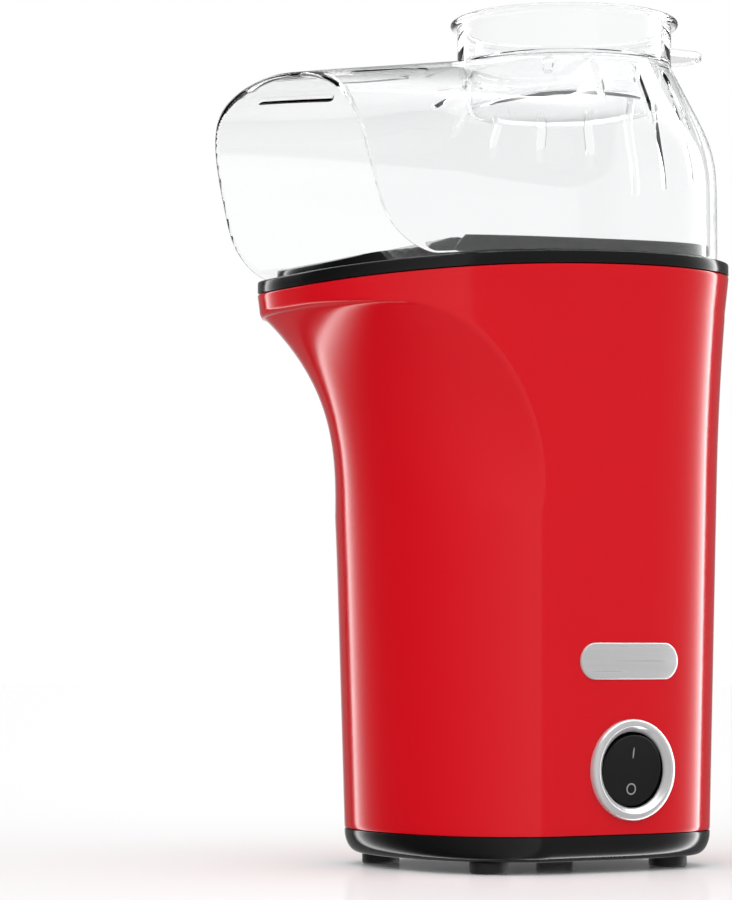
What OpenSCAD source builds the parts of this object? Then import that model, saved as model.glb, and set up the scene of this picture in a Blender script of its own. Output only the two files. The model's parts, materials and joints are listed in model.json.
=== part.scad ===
// Hot-air popcorn maker. A tall red housing holds a motor, fan, heater and popping chamber.
// A clear hood on the black top ring guides the popcorn out of a spout, and a clear measuring
// cup closes the hole in the hood.
// Frame: +Z up, the spout points along -Y and the switch faces +X. The origin is on the floor,
// at the centre of the whole object's box. Each piece is drawn about the base's own centre, and
// placed() moves it from there into the frame.

/* [Housing] */
// Width across the housing at its foot
body_w = 108; // [104:0.5:112]
// Reach of the housing's back from the base centre, at its foot
back_reach = 59.2; // [58.5:0.1:62]
// Reach of the housing's front face from the base centre, at its foot
front_reach = 55.2; // [53:0.1:58]
// Reach of the lip under the spout from the base centre
lip_reach = 87.6; // [84:0.1:90]
// Wall of the housing
wall = 2.4; // [2:0.1:2.8]
// Height at which the red housing starts
foot_z = 12.4; // [11.5:0.1:13]
// Height of the underside of the lip
lip_z = 184.5; // [183:0.5:188]

/* [Top ring] */
// Height of the ring's underside at the back, where it is level
ring_z = 199.7; // [198.5:0.1:201]
// Height of the ring's outer band
ring_h = 4.3; // [4.1:0.1:5]
// Place along Y from which the ring bends down towards the spout
ring_level_y = 30; // [24:1:36]

/* [Hood] */
// Step from the ring's edge in to the hood's wall
hood_step = 3.4; // [3:0.1:4]
// Height of the hood's flat top around the cup
hood_top_z = 273; // [268:0.5:278]
// Wall of the hood
hood_wall = 2; // [1.6:0.1:2.4]
// Reach that the spout's rounded plan would have if the mouth did not cut it
spout_reach = 142; // [136:1:148]

/* [Measuring cup] */
// Radius of the cup's wall above the hood
cup_r = 37; // [36.5:0.1:37.4]
// Radius of the cup's wall below the hood's top
cup_low_r = 34; // [32:0.1:34.2]
// Radius of the rim
rim_r = 39.4; // [39:0.1:40]
// Height of the rim
rim_z = 290; // [286:0.5:294]
// Height of the cup's floor
cup_floor_z = 259; // [255:0.5:262]
// Reach of the cup's handle behind its axis
handle_reach = 56.6; // [52:0.1:60]

/* [Switch and badge] */
// Outer radius of the chrome bezel
bezel_r = 16.6; // [16:0.1:18]
// Radius of the round rocker
rocker_r = 11.8; // [11:0.1:11.8]
// Travel of the rocker from off to on, in degrees
rocker_travel = 14; // [10:1:14]
// Length of the badge
badge_l = 40; // [36:1:44]
// Height of the badge
badge_h = 12; // [10:0.5:14]

/* [Feet and screws] */
// Radius of a rubber foot
foot_r = 6.4; // [6:0.1:7]
// Height of a foot below the base
foot_h = 4; // [3:0.1:4]

/* [Popping chamber and heater] */
// Inner radius of the popping chamber
chamber_r = 36; // [35.8:0.1:36.2]
// Number of slots that swirl the air in the chamber
vent_count = 18; // [12:1:24]
// Number of turns of each heating coil
coil_count = 6; // [4:1:7]

/* [Fan and motor] */
// Radius of the fan's blades
fan_r = 31; // [29:0.5:32]
// Number of fan blades
blade_count = 8; // [5:1:9]
// Radius of the motor's can
motor_r = 14; // [13:0.1:15]
// Radius of the motor's shaft
shaft_r = 1.15; // [1:0.05:1.2]

/* [Hidden] */
$fn = 64;

// The box runs from the mouth's upper edge to the end of the cup's handle
axis_y = 19;
mouth_front_y = -98.1;
frame_shift_y = -(mouth_front_y + axis_y + handle_reach) / 2;
gap = 0.1;

// Housing: growth of the plan with height, and the exponents of its rounded plan
steady_growth = 0.0035;
late_growth = 0.00007;
late_growth_z = 130;
side_share = 4;
back_share = 8.4;
lip_share = 3;
back_power = 3;
lip_power = 2.93;
// The crest between the side and the hollowed front rises straight, then curves to the lip
crest_start_z = 118;
crest_low_y = -26;
crest_lip_y = -79;
scoop_start_z = 60;
scoop_power = 5.8;
lip_undercut = 3;
base_draft = 0.04;
back_steps = 12;
side_steps = 5;
front_steps = 12;
housing_levels = [foot_z, 40, 80, 105, 118, 130, 141, 150, 158, 165, 171, 176, 180.5, lip_z - 0.01];
inner_rise = 2;

// Hood: a polar grid about the cup's axis, squashed between the wall and the flat top
hood_gap = 0.3;
hood_rim_r = 37;
hood_square = 8;
front_droop = 0.212;
side_droop = 0.45;
hood_rays = 60;
mouth_arc_r = 24;
mouth_arc_y = -63.2;
mouth_lean = 10 / 38;
cup_hole_r = 34.6;
roof_vent_count = 13;
roof_vent_turn = 22;
roof_vent_r = 43.5;
roof_vent_l = 9.2;
roof_vent_w = 3.2;
ridge_vent_y = -62.5;
side_vent_x = 30;
side_vent_y = -71;
// Top ring: how fast it bends, the upstand that locates the hood, and the chute's crown
ring_bend = 0.00056;
plate_t = 2.2;
upstand_inset = hood_step + hood_wall + 1.1;
upstand_w = 2;
upstand_z = 208.1;
upstand_slope = 0.03;
upstand_foot_y = -60;
upstand_front_y = -54.5;
chute_w = 68;
chute_z = 208;

// Switch, badge and cord gland
switch_y = 7.3;
switch_z = 33.5;
side_x = half_w(switch_z);
pivot_x = side_x - 2.3;
pivot_pin_r = 1.2;
frame_tube_r = 14.3;
frame_bore_r = 12.4;
badge_y = 6.5;
badge_z = 69;
gland_z = 30;
gland_bore_r = 3.4;

// Inside: heights of the air path from the motor up to the chamber
floor_t = 2.5;
cap_z = 22;
can_z = 25;
fan_floor_z = 58.3;
fan_top_z = 86;
fan_case_r = 36;
duct_z = 86.2;
duct_top_z = 150;
chamber_z = 127;
chamber_top_z = 195.5;
coil_z = 95;
coil_pitch = 4.2;
wire_r = 0.6;
boss_r = 3.5;
screw_r = 1.5;
head_r = 3;
base_boss = [[42, 30], [-42, 30], [43, -22], [-43, -22]];
frame_boss = [[44, 5], [-44, 5], [44, 33], [-44, 33]];
ring_boss = [[48.5, 28], [-48.5, 28], [48.5, -32], [-48.5, -32]];
clamp_angles = [30, 150, 270];
clamp_r = 45;
board_y = -28;
board_z = 12;
lead_r = 1.1;

module placed() {
    translate([0, frame_shift_y, 0]) children();
}

// ---- plan of the body at a height -------------------------------------------------------

function growth(z) = steady_growth * (z - foot_z) + late_growth * pow(max(0, z - late_growth_z), 2);
function half_w(z) = body_w / 2 + side_share * growth(z);
function back_r(z) = back_reach + back_share * growth(z);
function lip_r(z) = lip_reach + lip_share * growth(z);
function ring_drop(y) = -ring_bend * pow(max(0, ring_level_y - y), 2);

// Half width of the smooth side skin at a place along Y
function skin_x(y, z) = let (back = y >= 0,
                             reach = back ? back_r(z) : lip_r(z),
                             power = back ? back_power : lip_power)
    half_w(z) * pow(max(0, 1 - pow(abs(y) / reach, power)), 1 / power);

function crest_share(z) = min(1, max(0, (z - crest_start_z) / (lip_z - crest_start_z)));
function crest_y(z) = crest_low_y
    + (crest_lip_y - crest_low_y) * (1 - sqrt(1 - pow(crest_share(z), 2)));
function front_y(z) = let (face = front_reach + base_draft * (z - foot_z),
                           share = min(1, max(0, (z - scoop_start_z) / (lip_z - scoop_start_z))))
    face + (lip_r(z) - lip_undercut - face) * pow(share, scoop_power);

function back_points(z) = [for (i = [0:back_steps - 1]) let (a = 90 * (1 - i / back_steps))
    [half_w(z) * pow(cos(a), 2 / back_power), back_r(z) * pow(sin(a), 2 / back_power)]];
function side_points(z) = [for (i = [0:side_steps - 1]) let (y = crest_y(z) * i / side_steps)
    [skin_x(y, z), y]];

// Below the lip the front is one Bezier curve from the crest to the middle of the front
function bezier(a, b, c, d, t) = pow(1 - t, 3) * a + 3 * t * pow(1 - t, 2) * b
    + 3 * t * t * (1 - t) * c + pow(t, 3) * d;
function scoop_points(z) = let (
        y = crest_y(z),
        x = skin_x(y, z),
        turn = atan((x - skin_x(y - 0.05, z)) / 0.05) + 12 + 22 * sin(180 * crest_share(z)),
        front = front_y(z),
        pull = min(0.62 * (front - abs(y)) / cos(turn), 0.9 * x / max(sin(turn), 0.05)))
    [for (i = [0:front_steps]) bezier([x, y], [x - pull * sin(turn), y - pull * cos(turn)],
        [0.62 * x, -front], [0, -front], i / front_steps)];
function lip_points(z) = let (first = asin(pow(-crest_lip_y / lip_r(z), lip_power / 2)))
    [for (i = [0:front_steps]) let (a = first + (90 - first) * i / front_steps)
        [half_w(z) * pow(cos(a), 2 / lip_power), -lip_r(z) * pow(sin(a), 2 / lip_power)]];

function mirrored(half) = concat(half, [for (i = [len(half) - 2:-1:1]) [-half[i].x, half[i].y]]);
function plan(z) = mirrored(concat(back_points(z), side_points(z),
                                   z < lip_z ? scoop_points(z) : lip_points(z)));
function ring_plan() = plan(ring_z);

// A closed clockwise outline moved inwards by t
function inset(p, t) = [for (i = [0:len(p) - 1]) let (
        along = p[(i + 1) % len(p)] - p[(i + len(p) - 1) % len(p)],
        inward = [along.y, -along.x] / norm(along))
    p[i] + t * inward];
function lifted(p, z) = [for (q = p) [q.x, q.y, z]];
function on_ring(p, z) = [for (q = p) [q.x, q.y, z + ring_drop(q.y)]];

// ---- lofts ------------------------------------------------------------------------------

function side_faces(n, m, first) = [for (i = [0:m - 2], j = [0:n - 1]) let (
        a = first + i * n + j,
        b = first + i * n + (j + 1) % n)
    each [[a, b, b + n], [a, b + n, a + n]]];
function flipped(faces) = [for (f = faces) [f[2], f[1], f[0]]];

// Solid through a stack of clockwise rings, closed by flat ends
module solid_loft(rings) {
    n = len(rings[0]);
    m = len(rings);
    polyhedron(
        points = [for (r = rings) each r],
        faces = concat(side_faces(n, m, 0), [[for (j = [n - 1:-1:0]) j]],
                       [[for (j = [0:n - 1]) (m - 1) * n + j]]));
}

// Open tube between an outer and an inner stack of rings
module tube_loft(outer, inner) {
    n = len(outer[0]);
    m = len(outer);
    half = n * m;
    top = (m - 1) * n;
    lower = [for (j = [0:n - 1]) let (k = (j + 1) % n)
        each [[j, half + k, k], [j, half + j, half + k]]];
    upper = [for (j = [0:n - 1]) let (k = (j + 1) % n)
        each [[top + j, top + k, half + top + k], [top + j, half + top + k, half + top + j]]];
    polyhedron(
        points = concat([for (r = outer) each r], [for (r = inner) each r]),
        faces = concat(side_faces(n, m, 0), flipped(side_faces(n, m, half)), lower, upper));
}

// Tube swept along hand-picked points, rounded at each corner
function curve_point(p, i, t) = let (
        last = len(p) - 1,
        a = p[max(0, i - 1)],
        b = p[i],
        c = p[min(last, i + 1)],
        d = p[min(last, i + 2)])
    0.5 * (2 * b + (c - a) * t + (2 * a - 5 * b + 4 * c - d) * t * t
        + (3 * b - a - 3 * c + d) * pow(t, 3));
function curve(p, steps) = concat(
    [for (i = [0:len(p) - 2], s = [0:steps - 1]) curve_point(p, i, s / steps)], [p[len(p) - 1]]);
function lead_ring(c, dir, r) = let (
        side = cross(dir, abs(dir.z) > 0.9 * norm(dir) ? [1, 0, 0] : [0, 0, 1]),
        u = side / norm(side),
        v = cross(dir, u) / norm(dir))
    [for (k = [0:7]) c + r * (cos(45 * k) * u - sin(45 * k) * v)];
module lead(route) {
    line = curve(route, 5);
    last = len(line) - 1;
    solid_loft([for (i = [0:last])
        lead_ring(line[i], line[min(last, i + 1)] - line[max(0, i - 1)], lead_r)]);
}

// ---- small shapes -----------------------------------------------------------------------

// Extrudes an outline drawn in Y and Z across the width
module across(w) {
    translate([-w / 2, 0, 0]) rotate([90, 0, 90]) linear_extrude(w) children();
}
// Turns a shape built along +Z to point along +X
module facing_x() {
    rotate([0, 90, 0]) children();
}
module tube(r, bore, h) {
    difference() {
        cylinder(r = r, h = h);
        translate([0, 0, -1]) cylinder(r = bore, h = h + 2);
    }
}
module slot_2d(l, w) {
    square([l - w, w], center = true);
    for (s = [-1, 1]) translate([s * (l - w) / 2, 0]) circle(r = w / 2, $fn = 24);
}
module screw(length, r = screw_r, head = head_r, head_h = 2) {
    difference() {
        cylinder(r = head, h = head_h, $fn = 32);
        for (a = [0, 90]) rotate(a) translate([0, 0, head_h / 4])
            cube([head * 1.2, head * 0.28, head_h / 2 + 1], center = true);
    }
    translate([0, 0, head_h]) cylinder(r = r, h = length, $fn = 24);
}

// ---- casing -----------------------------------------------------------------------------

// Moulded shell: the plan lofted from the foot to the ring, with bosses on its inside
module housing_shell() {
    lip_step = 0.7;
    outer = concat([for (z = housing_levels) lifted(plan(z), z)],
                   [lifted(plan(lip_z), lip_z + lip_step), on_ring(ring_plan(), ring_z)]);
    inner = concat([for (z = housing_levels)
                        lifted(inset(plan(z), wall),
                               z + inner_rise * min(1, max(0, (z - scoop_start_z) / 20)))],
                   [lifted(inset(plan(lip_z), wall), lip_z + lip_step + inner_rise),
                    on_ring(inset(ring_plan(), wall), ring_z)]);
    tube_loft(outer, inner);
}
// Boss with a rib that ties it to the side wall
module side_boss(x, y, z, h, r, to_x) {
    translate([x, y, z]) cylinder(r = r, h = h, $fn = 32);
    side = sign(x);
    translate([side > 0 ? x : to_x, y - 1, z]) cube([abs(to_x - x), 2, h]);
}
module housing() placed() color([0.8, 0.03, 0.06]) {
    difference() {
        union() {
            housing_shell();
            for (b = base_boss) side_boss(b.x, b.y, 14, 16, boss_r, sign(b.x) * (skin_x(b.y, 20) - 1));
            for (b = frame_boss)
                side_boss(b.x, b.y, fan_top_z + gap, 16, boss_r, sign(b.x) * (skin_x(b.y, 90) - 1));
            for (b = ring_boss)
                side_boss(b.x, b.y, 186, 4, 4.2, sign(b.x) * (skin_x(b.y, 186) - 1));
        }
        for (b = base_boss) translate([b.x, b.y, 13]) cylinder(r = screw_r + 0.02, h = 14, $fn = 24);
        for (b = frame_boss) translate([b.x, b.y, fan_top_z - 1])
            cylinder(r = screw_r + 0.02, h = 14, $fn = 24);
        for (b = ring_boss) translate([b.x, b.y, 184]) cylinder(r = screw_r + 0.2, h = 8, $fn = 24);
        translate([side_x - 6, switch_y, switch_z]) facing_x() cylinder(r = frame_tube_r + gap, h = 12);
        translate([side_x - 1.3, switch_y, switch_z]) facing_x() cylinder(r = bezel_r + gap, h = 6);
        translate([0, back_reach - 8, gland_z]) rotate([-90, 0, 0]) cylinder(r = 6.1, h = 16);
    }
}

// Floor of the machine, with air slots, foot sockets and screw wells
module air_slots() {
    for (row = [-3:3]) let (half = 31 - 1.1 * row * row)
        translate([0, axis_y - 3 + row * 7, 0]) for (s = [-1, 1])
            translate([s * half / 2, 0]) slot_2d(half - 3, 3);
}
module base_cover() placed() color([0.06, 0.06, 0.07]) {
    bottom = foot_h;
    tall = foot_z - foot_h;
    foot_plan = plan(foot_z);
    difference() {
        union() {
            difference() {
                solid_loft([for (i = [0:5]) let (a = 18 * i)
                    lifted(inset(foot_plan, 5 * (1 - sin(a))), bottom + tall * (1 - cos(a)))]);
                translate([0, 0, bottom + floor_t])
                    linear_extrude(tall) polygon(inset(foot_plan, 7.5));
            }
            for (b = base_boss) translate([b.x, b.y, bottom]) cylinder(r = 5, h = 9.9, $fn = 32);
            for (s = [-1, 1]) translate([s * 16, board_y, bottom])
                cylinder(r = 2.5, h = board_z - bottom - gap);
        }
        translate([0, 0, bottom - 1]) linear_extrude(floor_t + 2) air_slots();
        for (b = base_boss) translate([b.x, b.y, bottom - 1]) {
            cylinder(r = head_r + 0.3, h = 4, $fn = 32);
            cylinder(r = screw_r + 0.2, h = 12, $fn = 24);
        }
        for (p = foot_places()) translate([p.x, p.y, bottom - 1]) cylinder(r = 3.02, h = 6);
    }
}
function foot_places() = [for (x = [-33.5, 33.5], y = [-35.1, 36.9]) [x, y]];
module foot() {
    rotate_extrude() polygon([[0, 0], [foot_r - 1, 0], [foot_r, 1], [foot_r, foot_h - 0.02],
                              [3, foot_h - 0.02], [3, foot_h + 2.2], [0, foot_h + 2.2]]);
}
module rubber_feet() placed() color([0.1, 0.1, 0.1]) {
    for (p = foot_places()) translate([p.x, p.y, 0]) foot();
}
module base_screws() placed() color([0.75, 0.76, 0.78]) {
    for (b = base_boss) translate([b.x, b.y, foot_h + 1]) screw(18);
}

// Side view of the ring's bent underside, raised by lift, as points from one place along Y to another
function ring_line(first, last, lift) = [for (i = [0:16]) let (y = first + (last - first) * i / 16)
    [y, ring_z + ring_drop(y) + lift]];
function upstand_top(y) = [y, upstand_z + upstand_slope * y];
function deck_point(y, lift) = [y, ring_z + ring_drop(y) + ring_h + lift];

// Part of the ring: its plan moved inwards by t, cut to a side view
module ring_slice(t, w, side_view) {
    intersection() {
        translate([0, 0, ring_z - 20]) linear_extrude(50) polygon(inset(ring_plan(), t));
        across(w) polygon(side_view);
    }
}
// Black ring and deck: outer band, plate round the chamber's mouth, chute and the hood's seat
module top_ring() placed() color([0.07, 0.07, 0.08]) {
    whole = 2 * body_w;
    difference() {
        union() {
            difference() {
                ring_slice(0, whole, concat(ring_line(-100, 80, 0), ring_line(80, -100, ring_h)));
                ring_slice(wall + 0.2, whole,
                           concat(ring_line(-100, 80, -1), ring_line(80, -100, ring_h - plate_t)));
            }
            difference() {
                ring_slice(upstand_inset, whole, concat(ring_line(upstand_foot_y, 80, ring_h - 0.5),
                    [upstand_top(80), upstand_top(upstand_front_y)]));
                translate([0, 0, ring_z - 20]) linear_extrude(50)
                    polygon(inset(ring_plan(), upstand_inset + upstand_w));
            }
            ring_slice(upstand_inset, chute_w, concat(ring_line(-86, axis_y, ring_h - 0.5),
                [[axis_y, chute_z], [-48, chute_z - 0.4], deck_point(-55, 5.4), deck_point(-61, 4.1),
                 deck_point(-78, 3.4), deck_point(-86, 2)]));
            translate([0, axis_y, 188]) cylinder(r = chamber_r - 0.4, h = 15);
            for (a = clamp_angles) let (
                    y = axis_y + clamp_r * sin(a),
                    z = chamber_top_z + 1.2)
                translate([clamp_r * cos(a), y, z])
                    cylinder(r = 3.2, h = ring_z + ring_drop(y) + ring_h - plate_t + 0.8 - z, $fn = 32);
            for (b = ring_boss) translate([b.x, b.y, 190.1])
                cylinder(r = 3.2, h = ring_z + ring_drop(b.y) + ring_h - plate_t + 0.8 - 190.1, $fn = 32);
        }
        translate([0, axis_y, 180]) cylinder(r = chamber_r - 2, h = 40);
        for (a = clamp_angles) translate([0, axis_y, chamber_top_z - 1]) rotate(a)
            translate([clamp_r, 0, 0]) cylinder(r = screw_r + 0.02, h = 6.2, $fn = 24);
        for (b = ring_boss) translate([b.x, b.y, 189]) cylinder(r = screw_r + 0.02, h = 8, $fn = 24);
    }
}
module ring_screws() placed() color([0.75, 0.76, 0.78]) {
    for (b = ring_boss) translate([b.x, b.y, 183.9]) screw(10);
}

// ---- hood and cup -----------------------------------------------------------------------

// Distance from the cup's axis to the hood's wall along a ray, found by halving the interval
function hood_level(x, y, t) = let (back = y >= 0)
    pow(abs(x) / (half_w(ring_z) - hood_step - t), 3)
    + pow(abs(y) / (back ? back_r(ring_z) - hood_step - t : spout_reach - t), 3);
function wall_dist(a, t, low = 20, high = 170, left = 22) = let (mid = (low + high) / 2)
    left == 0 ? mid
    : hood_level(mid * cos(a), axis_y + mid * sin(a), t) > 1 ? wall_dist(a, t, low, mid, left - 1)
    : wall_dist(a, t, mid, high, left - 1);
// How much the roof falls towards the wall: little along the spout, more at the sides and back
function droop(a) = front_droop
    + (side_droop - front_droop) * min(1, sqrt(1 + sin(a) + 0.0016) - 0.04);
function hood_point(a, q, t) = let (
        reach = hood_rim_r + (wall_dist(a, t) - hood_rim_r) * q,
        wall_y = axis_y + wall_dist(a, t) * sin(a),
        seat = ring_z + ring_h + hood_gap + ring_drop(wall_y),
        rise = (hood_top_z - t - seat) * (1 - droop(a) * q) * pow(1 - pow(q, hood_square), 1 / hood_square))
    [reach * cos(a), axis_y + reach * sin(a), seat + rise];
// Steps from the wall's foot up to the flat top: close together round the shoulder
hood_steps = concat([for (i = [0:8]) pow(sin(90 - 10 * i), 1 / 4)], [0.55, 0.36, 0.18, 0]);
function hood_ring(q, t) = [for (k = [0:hood_rays - 1]) hood_point(90 - 360 * k / hood_rays, q, t)];
function cup_hole_ring(z) = [for (k = [0:hood_rays - 1]) let (a = 90 - 360 * k / hood_rays)
    [cup_hole_r * cos(a), axis_y + cup_hole_r * sin(a), z]];
// One skin: up the outside, over the edge of the cup's hole and down the inside
module hood_skin() {
    last = len(hood_steps) - 1;
    rings = concat([for (q = hood_steps) hood_ring(q, 0)],
                   [cup_hole_ring(hood_top_z), cup_hole_ring(hood_top_z - hood_wall)],
                   [for (i = [last:-1:0]) hood_ring(hood_steps[i], hood_wall)]);
    n = hood_rays;
    m = len(rings);
    polyhedron(
        points = [for (r = rings) each r],
        faces = concat(side_faces(n, m, 0), [for (j = [0:n - 1]) let (
                k = (j + 1) % n,
                top = (m - 1) * n)
            each [[top + j, top + k, k], [top + j, k, j]]]));
}
// Side view of everything in front of the spout's mouth
module mouth_profile() {
    arc_z = ring_z + ring_h + ring_drop(mouth_arc_y) + mouth_arc_r - 0.4;
    top = hood_top_z + 20;
    lean = atan(mouth_lean);
    line_y = mouth_arc_y - mouth_arc_r * cos(lean);
    line_z = arc_z - mouth_arc_r * sin(lean);
    polygon(concat(
        [[-200, arc_z - mouth_arc_r - 15], [mouth_arc_y, arc_z - mouth_arc_r - 15]],
        [for (i = [0:12]) let (a = 270 - (90 - lean) * i / 12)
            [mouth_arc_y + mouth_arc_r * cos(a), arc_z + mouth_arc_r * sin(a)]],
        [[line_y - mouth_lean * (top - line_z), top], [-200, top]]));
}

module hood_slots() {
    for (k = [0:roof_vent_count - 1]) let (a = 90 + (k - (roof_vent_count - 1) / 2) * roof_vent_turn)
        translate([0, axis_y, 235]) rotate(a) translate([roof_vent_r, 0])
            linear_extrude(60) slot_2d(roof_vent_l, roof_vent_w);
    translate([0, ridge_vent_y, 240]) linear_extrude(60) rotate(90) slot_2d(36, 3);
    for (s = [-1, 1]) translate([s * side_vent_x, side_vent_y, 240])
        linear_extrude(60) rotate(90) slot_2d(29, 2.6);
}
module hood() placed() color([0.85, 0.9, 0.95, 0.35]) {
    difference() {
        hood_skin();
        across(2 * body_w) mouth_profile();
        hood_slots();
    }
}

module cup_handle() {
    translate([0, axis_y, rim_z - 9.4]) linear_extrude(2.4) difference() {
        union() {
            translate([-11, 0]) square([22, handle_reach - 11]);
            translate([0, handle_reach - 11]) circle(r = 11);
        }
        circle(r = cup_r - 0.6);
    }
}
module measuring_cup() placed() color([0.88, 0.92, 0.96, 0.35]) {
    t = 1.6;
    step_z = hood_top_z + 0.3;
    translate([0, axis_y, 0]) rotate_extrude($fn = 96) polygon([
        [0, cup_floor_z], [cup_low_r - 1.4, cup_floor_z], [cup_low_r, cup_floor_z + 1.4],
        [cup_low_r, step_z], [cup_r, step_z], [cup_r, rim_z - 2.2], [rim_r, rim_z - 1.6],
        [rim_r, rim_z - 0.5], [rim_r - 0.6, rim_z], [cup_r - t, rim_z], [cup_r - t, step_z + t],
        [cup_low_r - t, step_z + t], [cup_low_r - t, cup_floor_z + t], [0, cup_floor_z + t]]);
    cup_handle();
}

// ---- switch, badge and gland ------------------------------------------------------------

module at_switch() {
    translate([side_x, switch_y, switch_z]) facing_x() children();
}
module switch_bezel() placed() color([0.85, 0.86, 0.88]) {
    at_switch() rotate_extrude($fn = 96) polygon([
        [frame_tube_r + 0.3, -1.2], [bezel_r, -1.2], [bezel_r, 0.8], [bezel_r - 1.4, 2.2],
        [14.4, 2.6], [13.1, 2.1], [frame_bore_r, 0.6], [frame_bore_r, 0], [frame_tube_r + 0.3, 0]]);
}
// Black frame behind the bezel, with the rocker's pivot holes and the contact block
module switch_body() placed() color([0.05, 0.05, 0.05]) {
    difference() {
        union() {
            translate([side_x - 12.1, switch_y, switch_z]) facing_x() cylinder(r = frame_tube_r, h = 12);
            translate([side_x - 27, switch_y - 10, switch_z - 11]) cube([16, 20, 22]);
        }
        translate([side_x - 9.5, switch_y, switch_z]) facing_x() cylinder(r = frame_bore_r, h = 12);
        translate([pivot_x, switch_y - 20, switch_z]) rotate([-90, 0, 0])
            cylinder(r = pivot_pin_r + 0.05, h = 40, $fn = 32);
    }
}
module switch_terminals() placed() color([0.85, 0.7, 0.35]) {
    for (s = [-1, 1]) translate([side_x - 35.1, switch_y + s * 5 - 0.4, switch_z - 3.2]) cube([8, 0.8, 6.4]);
}
// Round rocker at rest in the off position: its lower half is pressed in
module rocker_button() placed() color([0.08, 0.08, 0.08]) {
    sweep_r = frame_bore_r - 0.2;
    tilt = rocker_travel / 2;
    translate([pivot_x, switch_y, switch_z]) rotate([0, tilt, 0]) {
        difference() {
            intersection() {
                translate([-3, 0, 0]) facing_x() cylinder(r = rocker_r, h = 7, $fn = 96);
                translate([0, 20, 0]) rotate([90, 0, 0]) cylinder(r = sweep_r, h = 40, $fn = 96);
                translate([-3, -20, -20]) cube([6.2, 40, 40]);
            }
            translate([2.8, -0.4, 4.2]) cube([2, 0.8, 3.4]);
            translate([2.8, 0, -6]) facing_x() tube(1.9, 1.1, 2);
        }
        for (s = [-1, 1]) translate([0, s > 0 ? rocker_r - 2 : -rocker_r - 1.6, 0]) rotate([-90, 0, 0])
            cylinder(r = pivot_pin_r, h = 3.6, $fn = 32);
    }
}

// Blank plate curved like the housing's side
module badge() placed() color([0.78, 0.79, 0.8]) {
    intersection() {
        translate([0, 0, badge_z - 20]) linear_extrude(40) difference() {
            polygon(inset(plan(badge_z), -1));
            polygon(inset(plan(badge_z + badge_h), -0.05));
        }
        translate([30, badge_y, badge_z]) rotate([90, 0, 90]) linear_extrude(40) slot_2d(badge_l, badge_h);
    }
}

module cord_gland() placed() color([0.1, 0.1, 0.1]) {
    out = back_r(gland_z);
    translate([0, out, gland_z]) rotate([-90, 0, 0]) rotate_extrude() polygon([
        [3.9, -5], [7.4, -5], [7.4, -wall - 0.6], [6, -wall - 0.6], [6, 0.45], [8.4, 0.45],
        [8.4, 1.6], [7.6, 2.3], [6.4, 2.6], [5.3, 8], [4.9, 8.4],
        [gland_bore_r, 8.4], [gland_bore_r, 1.2], [3.9, 0.7]]);
}

// ---- chamber and heater -----------------------------------------------------------------

module popping_chamber() placed() color([0.8, 0.8, 0.82]) {
    t = 1;
    translate([0, axis_y, 0]) difference() {
        rotate_extrude() polygon([[0, chamber_z], [chamber_r - 3, chamber_z],
            [chamber_r + t, chamber_z + 4], [chamber_r + t, chamber_top_z],
            [chamber_r + 5, chamber_top_z], [chamber_r + 5, chamber_top_z + t],
            [chamber_r, chamber_top_z + t], [chamber_r, chamber_z + 4.4],
            [chamber_r - 3.4, chamber_z + t], [0, chamber_z + t]]);
        for (k = [0:vent_count - 1]) rotate(360 * k / vent_count)
            translate([chamber_r + 0.5, 0, chamber_z + 12]) rotate([0, 0, 40])
                cube([6, 1.6, 12], center = true);
    }
}
module chamber_clamp() placed() color([0.7, 0.7, 0.72]) {
    translate([0, axis_y, chamber_top_z - 2.1]) difference() {
        union() {
            cylinder(r = chamber_r + 5, h = 2);
            for (a = clamp_angles) rotate(a) {
                translate([clamp_r, 0, 0]) cylinder(r = 4, h = 2, $fn = 32);
                translate([chamber_r + 2, -4, 0]) cube([clamp_r - chamber_r - 2, 8, 2]);
            }
        }
        translate([0, 0, -1]) cylinder(r = chamber_r + 1.3, h = 4);
        for (a = clamp_angles) rotate(a) translate([clamp_r, 0, -1])
            cylinder(r = screw_r + 0.1, h = 4, $fn = 24);
    }
}
module chamber_screws() placed() color([0.75, 0.76, 0.78]) {
    for (a = clamp_angles) translate([0, axis_y, chamber_top_z - 4.15]) rotate(a)
        translate([clamp_r, 0, 0]) screw(7);
}
// Air duct from the fan to the chamber, closed by a flange round the chamber
module heater_duct() placed() color([0.62, 0.63, 0.65]) {
    t = 1;
    outer = chamber_r + 4;
    translate([0, axis_y, 0]) rotate_extrude() polygon([
        [fan_case_r - 4, duct_z], [fan_case_r - 1, duct_z], [fan_case_r - 1, 116], [outer, 124],
        [outer, duct_top_z], [chamber_r + 1.1, duct_top_z], [chamber_r + 1.1, duct_top_z - t],
        [outer - t, duct_top_z - t], [outer - t, 124.4], [fan_case_r - 2, 116.4],
        [fan_case_r - 2, duct_z + t], [fan_case_r - 4, duct_z + t]]);
}
// Two crossed mica sheets, notched for the heating coils
module mica_frame() placed() color([0.85, 0.8, 0.68]) {
    tall = 30;
    foot = coil_z - 5 - duct_z - 1.05;
    translate([0, axis_y, coil_z - 5]) difference() {
        union() {
            for (a = [0, 90]) rotate(a) {
                translate([-29, -0.4, 0]) cube([58, 0.8, tall]);
                translate([-fan_case_r + 2.2, -0.4, -foot]) cube([2 * fan_case_r - 4.4, 0.8, foot]);
            }
            cylinder(r = 3, h = tall, $fn = 32);
        }
        for (i = [0:coil_count - 1]) translate([0, 0, 5 + i * coil_pitch])
            for (r = [27, 17]) tube_ring(r, 0.9);
        translate([0, 0, -1]) cylinder(r = 1.6, h = tall + 2, $fn = 32);
    }
}
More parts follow.
